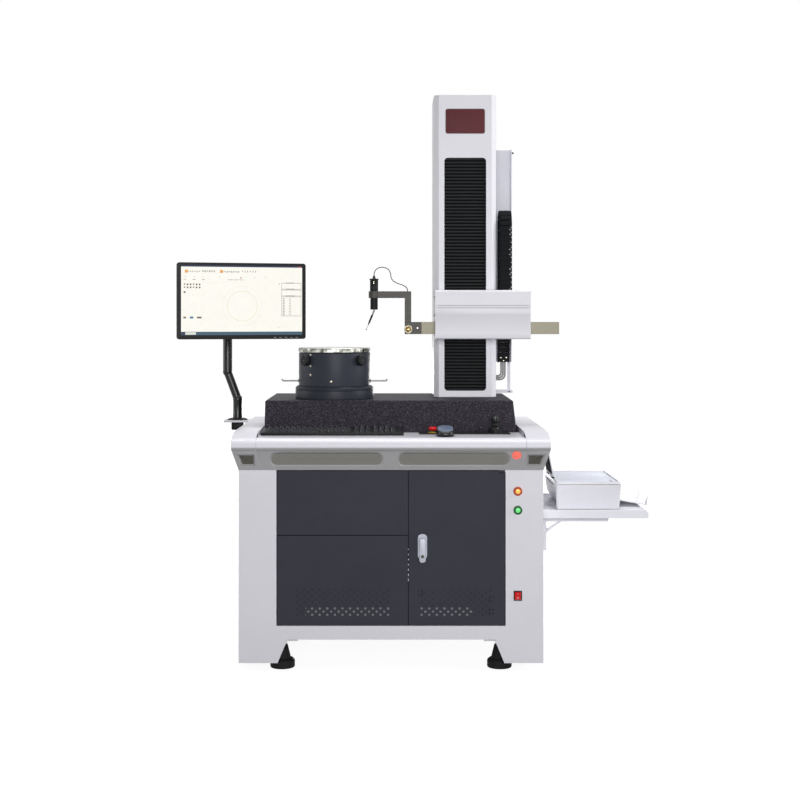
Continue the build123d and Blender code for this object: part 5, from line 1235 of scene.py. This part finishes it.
def clamp_knob():
    """The brass clamp knob: a knurled rim with painted shade in its valleys, a cap with a boss, and a pale
    bar of painted highlight across its face.
    """
    low, high, (x, _, z), (_, depth, width) = span("clamp_knob")
    radius, face, place = width / 2, depth - 0.003, facing(x, high[1], z)
    rim = np.vstack([mm((0, -1.2), (1, 0)) + (0, radius),
                     mm((-2, 0), (0, -1.6), (0, -5.2), (-3, -6)) + (face, radius)])
    cap = np.vstack([mm((-3.2, -5.6), (-2.6, -6.2)) + (face, radius),
                     mm((-4.8, 5.2), (-1.6, 4.6), (-1, 3.6), (-1.2, 1.2)) + (depth, 0)])
    # The pale bar stands for the highlight on the dished cap: painted highlight
    bar = brick((x - 0.0046, low[1] + 0.0001, z - 0.0012), (x + 0.0046, low[1] + 0.002, z + 0.0012), 0.0004)
    piece("knob_painted_highlight", [bar], cream_metal, "clamp_knob")
    ridged = knurled("knurled_brass", "brass", (246, 236, 208), 60, (x, 0, z), 0.5)
    rim = turned(eased(rim, 0.0008, 4), place, 72)
    piece("knob_rim", [rim], ridged, "clamp_knob", "clamp_knob", angle=25)
    piece("knob_cap", [turned(eased(cap, 0.0007, 4), place)], brass_metal, "clamp_knob", angle=25)


# Monitor on its arm
monitor_yaw = radians(16.4)
monitor_across = np.array([cos(monitor_yaw), sin(monitor_yaw), 0.0])
monitor_out = np.cross(monitor_across, (0, 0, 1))
monitor_centre = np.array([-0.529, 0.0, 1.22])
monitor_place = seat(monitor_centre, monitor_across)
screen_place = seat(monitor_centre + monitor_out * 0.011, monitor_across)
screen_width, screen_height, screen_rise = 0.432, 0.245, 0.0025
screen_gap, screen_step = 0.0001, 0.00004


def behind_monitor(points):
    """The points of the mounting plate and its two ears, behind the housing's bulge."""
    local = points - monitor_centre
    return (local @ monitor_out < -0.0345) & (np.abs(local @ monitor_across) < 0.06)


def monitor():
    """The monitor's housing with its bezel, buttons, ventilation slots and mount, its upper arm and clamp."""
    outer = rectangle(0.459, 0.27, (0, 0), 0.01, 6)
    inner = rectangle(screen_width, screen_height, (0, screen_rise), 0.0004, 6)
    back, bulge = rectangle(0.457, 0.268, (0, 0), 0.01, 6), rectangle(0.22, 0.15, (0, 0), 0.014, 8)
    shell = [frame_between(outer, inner, -0.0108, 0.011, 0.0012, monitor_place),
             slab(back, -0.011, -0.004, 0.001, monitor_place, 2),
             slab(bulge, -0.035, -0.0105, 0.006, monitor_place, 4)]
    piece("monitor_shell", shell, black_plastic, "monitor", "monitor_housing")
    buttons = [slab(rectangle(0.01, 0.0016, (x, -0.1292), 0.0007, 3), 0.0105, 0.0113, 0.0002,
                    monitor_place, 1) for x in spread(5, 0.118, 0.196)]
    piece("monitor_buttons", buttons, grey_moulding, "monitor")
    from_behind = seat(monitor_centre, -monitor_across)
    vents = [slab(rectangle(0.0022, 0.012, (x, z), 0.001, 3), 0.0349, 0.0354, 0.0001, from_behind, 1)
             for x in spread(31, -0.085, 0.085) for z in (0.045, -0.045)]
    piece("monitor_vents", vents, foot_rubber, "monitor")
    softened("monitor_housing", black_plastic, "monitor", keep=behind_monitor).name = "monitor_mount"
    softened("monitor_arm_upper", black_plastic, "monitor_upper", 0.0012)
    monitor_clamp()


def monitor_clamp():
    """The white folded plate on the end cap, with the black disc above it and the clamp screw below."""
    low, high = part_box("monitor_clamp")
    top, edge_x = 0.785, -0.5198
    plate = [brick((low[0], low[1], top - 0.007), (edge_x, high[1], top)),
             brick((edge_x - 0.0042, low[1], top - 0.05), (edge_x, high[1], top - 0.002))]
    piece("clamp_plate", plate, white_coat, node="monitor_clamp")
    place = upright(-0.566, 0.19)
    disc = np.vstack([mm((0, 37.2), (1.8, 37.5), (4, 34)) + (top, 0), mm((0, 24), (0, 10)) + (high[2], 0)])
    parts = [turned(eased(disc, 0.0014, 5), place),
             brick((-0.587, 0.169, top - 0.0365), (-0.545, 0.211, top - 0.0072), 0.003),
             turned(mm((-36.8, 6), (-24, 6)) + (top, 0), place, 24)]
    piece("clamp_disc", parts, black_plastic, angle=28)


def lower_arm():
    """The post that carries the monitor: two upright tubes with ball ends, joined by a leaning one."""
    low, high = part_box("monitor_arm_lower")
    x0, x1, y, radius = -0.566, -0.603, 0.19, 0.0174
    z0, z1, z2 = low[2], low[2] + 0.069, low[2] + 0.169
    angle = np.linspace(0, pi / 2, 9)[:-1]
    ball = radius * np.column_stack([np.sin(angle), np.cos(angle)])
    foot = mm((0, 17.2), (10, 17.4), (12, 16.6), (63, 16.6), (65, 17.4)) + (z0, 0)
    foot = np.vstack([foot, ball + (z1, 0)])
    head = np.vstack([(ball * (-1, 1))[::-1], mm((4, 17.4), (6, 16.8))]) + (z2, 0)
    head = np.vstack([head, [(high[2], 0.0168)]])
    line = np.column_stack([spread(9, x0, x1), np.full(9, y), spread(9, z1, z2)])
    parts = [turned(foot, upright(x0, y), 48), turned(head, upright(x1, y), 48), tube(line, 0.0152, 40)]
    piece("arm_tube", parts, gloss_black, "monitor_lower", "monitor_arm_lower")


def screen_sheet(name, points, faces, level, colour):
    """A flat lit sheet on the screen from points (right, up) in metres; a higher level lies in front."""
    mesh = bpy.data.meshes.new(name)
    depth = np.full(len(points), screen_gap + screen_step * level)
    mesh.from_pydata(placed(np.column_stack([points, depth]), screen_place).tolist(), [], faces)
    mesh.materials.append(lit(name, colour))
    shape = shown(name, mesh)
    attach(shape, "monitor")
    return shape


def marks(name, spots, level, colour):
    """Rectangles on the screen, each (left, top, right, bottom) in shares of its width and height."""
    share = np.array(spots, float)[:, [0, 1, 2, 1, 2, 3, 0, 3]].reshape(-1, 2)
    points = (share - 0.5) * (screen_width, -screen_height) + (0, screen_rise)
    faces = np.arange(len(points)).reshape(-1, 4)[:, ::-1].tolist()
    return screen_sheet(name, points, faces, level, colour)


def discs(name, circles, level, colour):
    """Rings on the screen, each (right, up, outer radius, inner radius)."""
    circles = np.array(circles)
    points = (circles[:, None, None, :2] + circles[:, 2:, None, None] * around(64)).reshape(-1, 2)
    faces = grid_faces(2, 64) + 128 * np.arange(len(circles))[:, None, None]
    return screen_sheet(name, points, faces.reshape(-1, 4).tolist(), level, colour)


def row_of(first, last, count, middle, width, height):
    """A row of marks about a height, every third of them shorter."""
    return [(u - width / 2, middle - height / 2, u + width / 2, middle + height / (2 if n % 3 else 5))
            for n, u in enumerate(spread(count, first, last))]


def rows_of(*rows):
    """The marks of several rows."""
    return [mark for row in rows for mark in row_of(*row)]


def boxes(width, height, *places):
    """Marks of one size at several places."""
    return [(u, v, u + width, v + height) for u, v in places]


def screen():
    """The lit window: title, icons, a round plot of a closed trace, a table of plain marks and tasks."""
    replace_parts(marks("screen_page", [(0, 0, 1, 1)], 0, (253, 251, 242)), "monitor_screen")
    marks("screen_title", [(0, 0, 1, 0.021), (0.005, 0.955, 0.03, 0.996)], 2, (28, 42, 80))
    marks("screen_tasks", [(0, 0.952, 1, 1)], 1, (62, 92, 112))
    marks("screen_open", [(0.034, 0.958, 0.12, 0.994)], 2, (226, 228, 218))
    marks("screen_orange", boxes(0.024, 0.043, (0.031, 0.065), (0.316, 0.065)), 2, (240, 160, 66))
    marks("screen_red", [(0.965, 0.004, 0.988, 0.017), (0.482, 0.168, 0.494, 0.182)], 3, (178, 74, 60))
    glyphs = rows_of((0.062, 0.15, 7, 0.09, 0.006, 0.022), (0.172, 0.27, 8, 0.085, 0.007, 0.026),
                     (0.35, 0.47, 9, 0.09, 0.007, 0.024), (0.5, 0.61, 6, 0.085, 0.006, 0.026))
    glyphs += boxes(0.004, 0.014, *((u, 0.158) for u in (0.035, 0.105, 0.175, 0.31, 0.6, 0.69)))
    glyphs += rows_of((0.03, 0.18, 3, 0.205, 0.022, 0.009), (0.385, 0.5, 9, 0.205, 0.009, 0.01))
    marks("screen_glyphs", glyphs, 2, (138, 136, 130))
    icons = rows_of((0.028, 0.15, 6, 0.275, 0.013, 0.026), (0.028, 0.15, 6, 0.318, 0.013, 0.024))
    icons += [(0.02, 0.372, 0.036, 0.398), (0.018, 0.735, 0.04, 0.762), (0.128, 0.735, 0.166, 0.762)]
    marks("screen_icons", icons, 2, (120, 106, 96))
    marks("screen_blue", [(0.07, 0.733, 0.1, 0.764)], 2, (92, 136, 164))
    dots = rows_of((0.024, 0.13, 4, 0.435, 0.004, 0.008))
    dots += boxes(0.0015, 0.012, *((0.175, v) for v in spread(26, 0.25, 0.93)))
    marks("screen_dots", dots + rows_of((0.2, 0.3, 7, 0.25, 0.01, 0.004)), 2, (206, 202, 190))
    screen_table()
    screen_plot()


def screen_table():
    """The frames and the plain cells at the right of the screen."""
    frames = boxes(0.167, 0.006, *((0.825, v) for v in (0.245, 0.332, 0.345, 0.43, 0.444, 0.722)))
    frames += boxes(0.0025, 0.483, (0.825, 0.245), (0.9895, 0.245)) + boxes(0.01, 0.013, (0.801, 0.255))
    frames += boxes(0.075, 0.012, (0.86, 0.24), (0.86, 0.328), (0.86, 0.427))
    frames += boxes(0.01, 0.008, (0.795, 0.885))
    left, right = (boxes(0.018, 0.01, *((u, v) for v in spread(11, 0.47, 0.7))) for u in (0.835, 0.888))
    marks("screen_frames", frames + left, 3, (150, 144, 138))
    marks("screen_cells", right, 3, (196, 190, 182))


def screen_plot():
    """The round trace, and the dotted ring about it."""
    z = screen_rise - 0.0205
    discs("screen_trace", [(0, z, 0.0537, 0.0528)], 3, (226, 214, 150))
    discs("screen_ring", [(u, z + v, 0.0009, 0.0001) for u, v in 0.07 * around(72)], 3, (226, 216, 176))


# Shelf and printer
def shelf():
    """The folding shelf with the small printer on it."""
    softened("shelf_tray", pale_coat, width=0.0014)
    softened("shelf_brackets", pale_coat, width=0.001)
    printer()
    paper_support()
    softened("output_tray", printer_moulding, "output_tray")


def printer_tub(x0, x1, y0, y1, z0, z1):
    """The printer's body as a skin: a rounded front face that swells back to a fuller outline."""
    top = [(x1 - 0.001, z1 - 0.012), (x1 - 0.0035, z1 - 0.0035), (x0 + 0.004, z1 - 0.0035),
           (x0 + 0.0005, z1 - 0.012)]
    front = rounded([(x0 + 0.003, z0), (x1 - 0.01, z0)] + top, mm(9, 14, 4, 3, 3, 4), 11)
    body = rounded([(x0 + 0.012, z0), (x1 - 0.008, z0)] + top, mm(46, 24, 4, 3, 3, 4), 11)
    edge, steps = 0.006, 5
    rows = rim_rows(front, y0, edge, steps, 1)[::-1]
    rows += [(front * (1 - part) + body * part, y0 + 0.01 + 0.026 * part)
             for part in (0, 0.12, 0.4, 0.75, 1)]
    return stack(rings_at(rows + rim_rows(body, y1, edge, steps), 1))


def printer():
    """The printer: a tub with large soft lower corners, a flat lid with a seam, a feed slot and buttons."""
    (x0, y0, z0), (x1, y1, z1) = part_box("printer_body")
    tub = printer_tub(x0, x1, y0, y1, z0, z1)
    outer = rounded(corners_of(x0 + 0.004, x1 - 0.003, y0 + 0.003, y1 - 0.003), 0.014, 6)
    rim = frame_between(outer, inset(outer, 0.0065), z1 - 0.006, z1, 0.0022, upright(0, 0))
    piece("printer_tub", [tub, rim], printer_moulding, node="printer_body", angle=26)
    pane = slab(inset(outer, 0.008), z1 - 0.006, z1 - 0.0028, 0.0006, upright(0, 0), 2)
    piece("printer_lid", [pane], printer_lid)
    feed = [brick((x0 + 0.0002, y0 + 0.07, z1 - 0.019), (x0 + 0.004, y1 - 0.07, z1 - 0.016), 0.0004, 1),
            brick((x1 - 0.0045, y0 + 0.062, z0 + 0.019), (x1 - 0.0006, y1 - 0.062, z0 + 0.04), 0.001, 1)]
    piece("printer_seams", feed, soft_black)
    button = eased(mm((-1, 4.2), (0.8, 4.2), (1.2, 3.6), (1.2, 1)), 0.0003)
    buttons = [turned(button, upright(x1 - 0.03, y0 + 0.032 + 0.016 * n, z1 - 0.0028), 28) for n in range(3)]
    piece("printer_buttons", buttons, grey_and_painted_shade)


def paper_support():
    """The printer's leaning paper support: a rim, a ribbed plate and two barrels at its foot."""
    x, y, z, lean = 0.564, span("paper_support")[2][1], 0.605, radians(11.3)
    place = seat((x, y, z), (0, -1, 0), (-sin(lean), 0, cos(lean)))
    outline = rounded(corners_of(-0.0995, 0.0995, 0.003, 0.142), 0.012, 6)
    rim = frame_between(outline, inset(outline, 0.007), -0.0018, 0.0018, 0.0008, place)
    plate = [slab(inset(outline, 0.0068), -0.0016, 0.0008, 0.0002, place, 1)]
    plate += [slab(rectangle(0.0014, 0.118, (aside, 0.072), 0.0005, 3), 0.0006, 0.0015, 0.0003, place, 1)
              for aside in spread(9, -0.076, 0.076)]
    piece("support_rim", [rim], printer_moulding, "paper_support", "paper_support")
    piece("support_plate", plate, soft_black, "paper_support")
    barrel = eased(mm((-16, 3), (-15.5, 3.6), (15.5, 3.6), (16, 3)), 0.0004)
    barrels = [turned(barrel, facing(x, y + aside, z), 24) for aside in (-0.07, 0.07)]
    piece("support_barrels", barrels, soft_black, "paper_support")


# Keyboard: for each row its place in pitches, its keys' widths, and the place and number of its cursor keys
key_pitch, key_gap = 0.0191, 0.0024
key_rows = [
    (0.0, [1.25] * 3 + [5.75] + [1.25] * 4, 15.4, 3), (1.0, [2.25] + [1] * 10 + [2.75], 16.4, 1),
    (2.0, [1.75] + [1] * 11 + [2.25], 0, 0), (3.0, [1.5] + [1] * 12 + [1.5], 15.4, 3),
    (4.0, [1] * 13 + [2], 15.4, 3), (5.15, [1] * 15, 15.4, 3),
]


def keycap(x, width, y, base, slope):
    """One key: a tapered cap whose top is a little dished towards its middle, leaning with the board."""
    outline = rectangle(width, 0.016, (0, 0), 0.0012, 3)
    rows = mm((0, -1), (0.2, 0.6), (1.8, 3.6), (2.4, 4), (3.6, 3.8))
    rings = rings_at([(inset(outline, amount), height) for amount, height in rows])
    rings[..., 2] += slope * rings[..., 1]
    return stack(rings + (x, y, base))


def keyboard():
    """The black keyboard: a wedge with six rows of keys in three blocks, and their legends."""
    low, high, _, size = span("keyboard")
    front_top, rear_top = low[2] + 0.01, low[2] + 0.02
    slope = (rear_top - front_top) / size[1]
    side = rounded([(low[1], low[2]), (high[1], low[2]), (high[1], rear_top), (low[1], front_top)], 0.0016, 4)
    piece("keyboard_base", [slab(side, low[0], high[0], 0.002, side_view)], black_plastic, node="keyboard")
    caps, legends = [], []
    for row, widths, arrow, arrows in key_rows:
        y = low[1] + 0.015 + row * key_pitch
        keys = [(sum(widths[:n]) + width / 2, width) for n, width in enumerate(widths)]
        keys += [(arrow + n + 0.5, 1) for n in range(arrows)]
        keys += [(18.8 + n + 0.5, 1) for n in range(4 if row < 5 else 3)]
        z = front_top + slope * (y - low[1])
        for place, width in keys:
            x = low[0] + 0.014 + place * key_pitch
            caps.append(keycap(x, width * key_pitch - key_gap, y, z, slope))
            left = x - width * key_pitch / 2 + 0.0046
            legends.append(brick((left, y + 0.0008, z + 0.0034),
                                 (left + 0.0022, y + 0.0038, z + 0.0042), 0.0001, 1))
    piece("keycaps", caps, key_black, angle=40)
    piece("key_legends", legends, grey_and_painted_shade)


def mouse():
    """The mouse: a domed plan with rounded ends, pale above and black below, with a wheel and a split.

    Its plan is a circle whose two coordinates are raised to the power 0.75, each row of points taking it at a
    scale and at a height that falls towards the front by a share of the length.
    """
    low, _, (x, y, _), size = span("mouse")
    plan = np.sign(around(56)) * np.abs(around(56)) ** 0.75

    def shell(rows):
        """A skin from rows of (scale, height, fall)."""
        rings = []
        for scale, height, fall in rows:
            z = height * (1 - fall * (1 - plan[:, 1] * scale) ** 2 / 4)
            rings.append((plan * size[:2] / 2 * scale, np.minimum(z, size[2])))
        return [stack(rings_at(rings) + (x, y, low[2]))]

    flank = shell([(0.93, 0.0005, 0), (0.98, 0.003, 0), (1.0, 0.009, 0.1), (0.99, 0.018, 0.3),
                   (0.94, 0.0255, 0.4), (0.87, 0.029, 0.45), (0.84, 0.0292, 0.45)])
    piece("mouse_flank", flank, gloss_black, node="mouse", angle=50)
    top = shell([(0.86, 0.027, 0.45), (0.855, 0.0297, 0.45), (0.8, 0.0318, 0.45), (0.66, 0.0334, 0.48),
                 (0.45, 0.0345, 0.5), (0.22, 0.0348, 0.5), (0.03, 0.0349, 0.5)])
    piece("mouse_shell", top, mouse_shell, angle=60)
    wheel = eased(mm((-3, 7), (-2.2, 8.2), (2.2, 8.2), (3, 7)), 0.0008)
    place = seat((x, y - size[1] * 0.25, low[2] + 0.0145), (0, 1, 0))
    piece("mouse_wheel", [turned(wheel, place, 32)], soft_black)


# Controls
def controls():
    """The control panel with its emergency stop, speed knob and joystick."""
    softened("control_panel", black_plastic, width=0.0012)
    estop()
    joystick()
    low, high, (x, y, _), size = span("speed_knob")
    radius, top = size[0] / 2, high[2]
    profile = np.vstack([mm((0, 0), (3, 0), (3.5, -0.8)) + (low[2], 0), mm((-2, -1.2), (0, -3)) + (top, 0)])
    cap = turned(eased(profile + (0, radius), 0.0005), upright(x, y), 40)
    piece("speed_cap", [cap], soft_black, "speed_knob", "speed_knob", angle=25)
    pointer = brick((x - 0.0005, y - radius + 0.0016, top - 0.0006),
                    (x + 0.0005, y - 0.001, top + 0.0001), 0.0001, 1)
    piece("speed_pointer", [pointer], white_moulding, "speed_knob")


def estop():
    """The emergency stop: a red mushroom over a yellow collar."""
    low, high, (x, y, _), _ = span("estop_base")
    place, drop = upright(x, y), 0.008
    collar = np.vstack([mm((0, 16), (2, 16.5)) + (low[2], 0),
                        mm((-2, 15), (0, 14), (0, 8.5)) + (high[2] - drop, 0), [(low[2], 0.0083)]])
    collar = turned(eased(collar, 0.0008, 4), place, closed=True)
    piece("estop_collar", [collar], yellow_plastic, node="estop_base")
    low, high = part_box("estop_button")
    head = mm((-12, 7.8), (-11.6, 13), (-8.5, 14.8), (-3.5, 14), (-0.6, 10), (-1.2, 4), (-1.4, 0.4))
    profile = eased(np.vstack([[(low[2], 0.0078)], head + (high[2] - drop, 0)]), 0.0018, 5)
    mushroom = turned(profile, place, 72)
    piece("estop_mushroom", [mushroom], red_plastic, "estop_button", "estop_button", angle=40)


def joystick():
    """The joystick: gimbal ring, ball, pleated boot and knob."""
    _, _, (x, y, z), size = span("joystick_gimbal")
    place = upright(x, y, z)
    ring = mm((-3, -0.4), (-2.4, 0), (2.4, -0.2), (3, -0.8)) + (0, size[0] / 2)
    ring = eased(np.vstack([ring, mm((3, 15.6), (-3, 15.6))]), 0.0004)
    piece("gimbal_ring", [turned(ring, place, closed=True)], dark_metal, "joystick_gimbal", "joystick_gimbal")
    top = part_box("joystick")[1][2] - z
    angle, ball_radius = np.radians(np.linspace(-28, 58, 12)), 0.0145
    ball = ball_radius * np.column_stack([np.sin(angle), np.cos(angle)])
    knob = mm((-26, 5.8), (-24.5, 9.5), (-21, 12.2), (-12, 13.4), (-5, 12.6), (-1.2, 9), (0, 4), (0, 0.4))
    knob += (top, 0)
    boot = [mm((0, 8 - 0.5 * n), (1.6, 12.8 - n), (3.4, 11.6 - n)) + (height, 0)
            for n, height in enumerate(np.linspace(ball[-1][0] + 0.001, knob[0][0], 6)[:-1])]
    stick = turned(np.vstack([ball, *boot, knob]), place, 56)
    piece("joystick_stick", [stick], gloss_black, "joystick", "joystick", angle=30)


# Floor, backdrop and light
floor_tone = 0.16
floor_glow = 0.9
floor_reach = 14.0
world_light = 0.17


def seen_directly(tree):
    """1 for rays that come from the camera, a reflection or a clear piece, 0 for those that carry light."""
    ray = add_node(tree, "LightPath", {})
    total = add_math(tree, "ADD", ray["Is Camera Ray"], ray["Is Glossy Ray"])
    return add_node(tree, "Clamp", {"Value": add_math(tree, "ADD", total, ray["Is Transmission Ray"])})[0]


def add_floor():
    """A flat pale floor, unseen from below: it looks white, wholly so far off, but throws back little."""
    values = {"Base Color": grey(floor_tone), "Roughness": 0.9, "Emission Strength": 1.0}
    material, tree, shader, place = new_material("floor", **values)
    distance = add_node(tree, "VectorMath", {0: place}, operation="LENGTH")["Value"]
    far = add_math(tree, "DIVIDE", distance, floor_reach)
    glow = add_ramp(tree, far, [(0.08, grey(floor_glow)), (0.26, grey(1))])
    shown_glow = add_node(tree, "VectorMath", {0: glow, "Scale": seen_directly(tree)}, operation="SCALE")
    feed(tree, shader["Emission Color"], shown_glow["Vector"])
    from_below = add_node(tree, "NewGeometry", {})["Backfacing"]
    feed(tree, shader["Alpha"], add_math(tree, "SUBTRACT", 1.0, from_below))
    mesh = bpy.data.meshes.new("floor")
    corners = corners_of(-floor_reach, floor_reach, -floor_reach, floor_reach)
    mesh.from_pydata([(x, y, 0) for x, y in corners], [], [(0, 1, 2, 3)])
    mesh.materials.append(material)
    shown("floor", mesh)


def add_light(name, place, size, power):
    """A soft rectangular lamp that faces the instrument's middle."""
    data = bpy.data.lights.new(name, "AREA")
    data.shape = "RECTANGLE"
    data.size, data.size_y = size
    data.energy = power
    lamp = shown(name, data)
    lamp.location = place
    out = mathutils.Vector(place) - mathutils.Vector((0.0, 0.0, 0.9))
    lamp.rotation_euler = out.to_track_quat("Z", "Y").to_euler()


def add_lights():
    """Broad lamps in front, overhead, at both sides and behind, and a white surround that lights softly."""
    add_light("key", (0.4, -5.6, 1.7), (3.0, 2.0), 190)
    add_light("top", (0.2, 0.5, 4.6), (3.2, 0.9), 105)
    add_light("left", (-4.8, 0.3, 1.6), (2.4, 2.0), 37)
    add_light("back", (0.4, 5.2, 0.5), (3.6, 0.7), 75)
    add_light("right", (4.6, -0.7, 2.2), (2.4, 2.4), 120)
    world = bpy.data.worlds.new("surround")
    bpy.context.scene.world = world
    world.use_nodes = True
    tree = world.node_tree
    background = tree.nodes["Background"].inputs
    light = add_ramp(tree, seen_directly(tree), [(0.0, grey(world_light)), (1.0, grey(1))])
    feed(tree, background["Color"], light)
    background["Strength"].default_value = 1.0


add_camera()
probe_cable()
cabinet()
levelling_feet()
latch()
post_switches()
console()
granite_block()
rotary_table()
column()
pleated("upper_bellows", "upper_pleats", 1.741, 1.2453)
pleated("lower_bellows", "lower_pleats", 0.892, 1.0997)
drag_chain()
chain_fixings()
carriage()
arm()
probe()
stylus()
clamp_knob()
monitor()
lower_arm()
screen()
shelf()
keyboard()
mouse()
controls()
add_floor()
add_lights()
bpy.context.scene.view_settings.view_transform = "Standard"
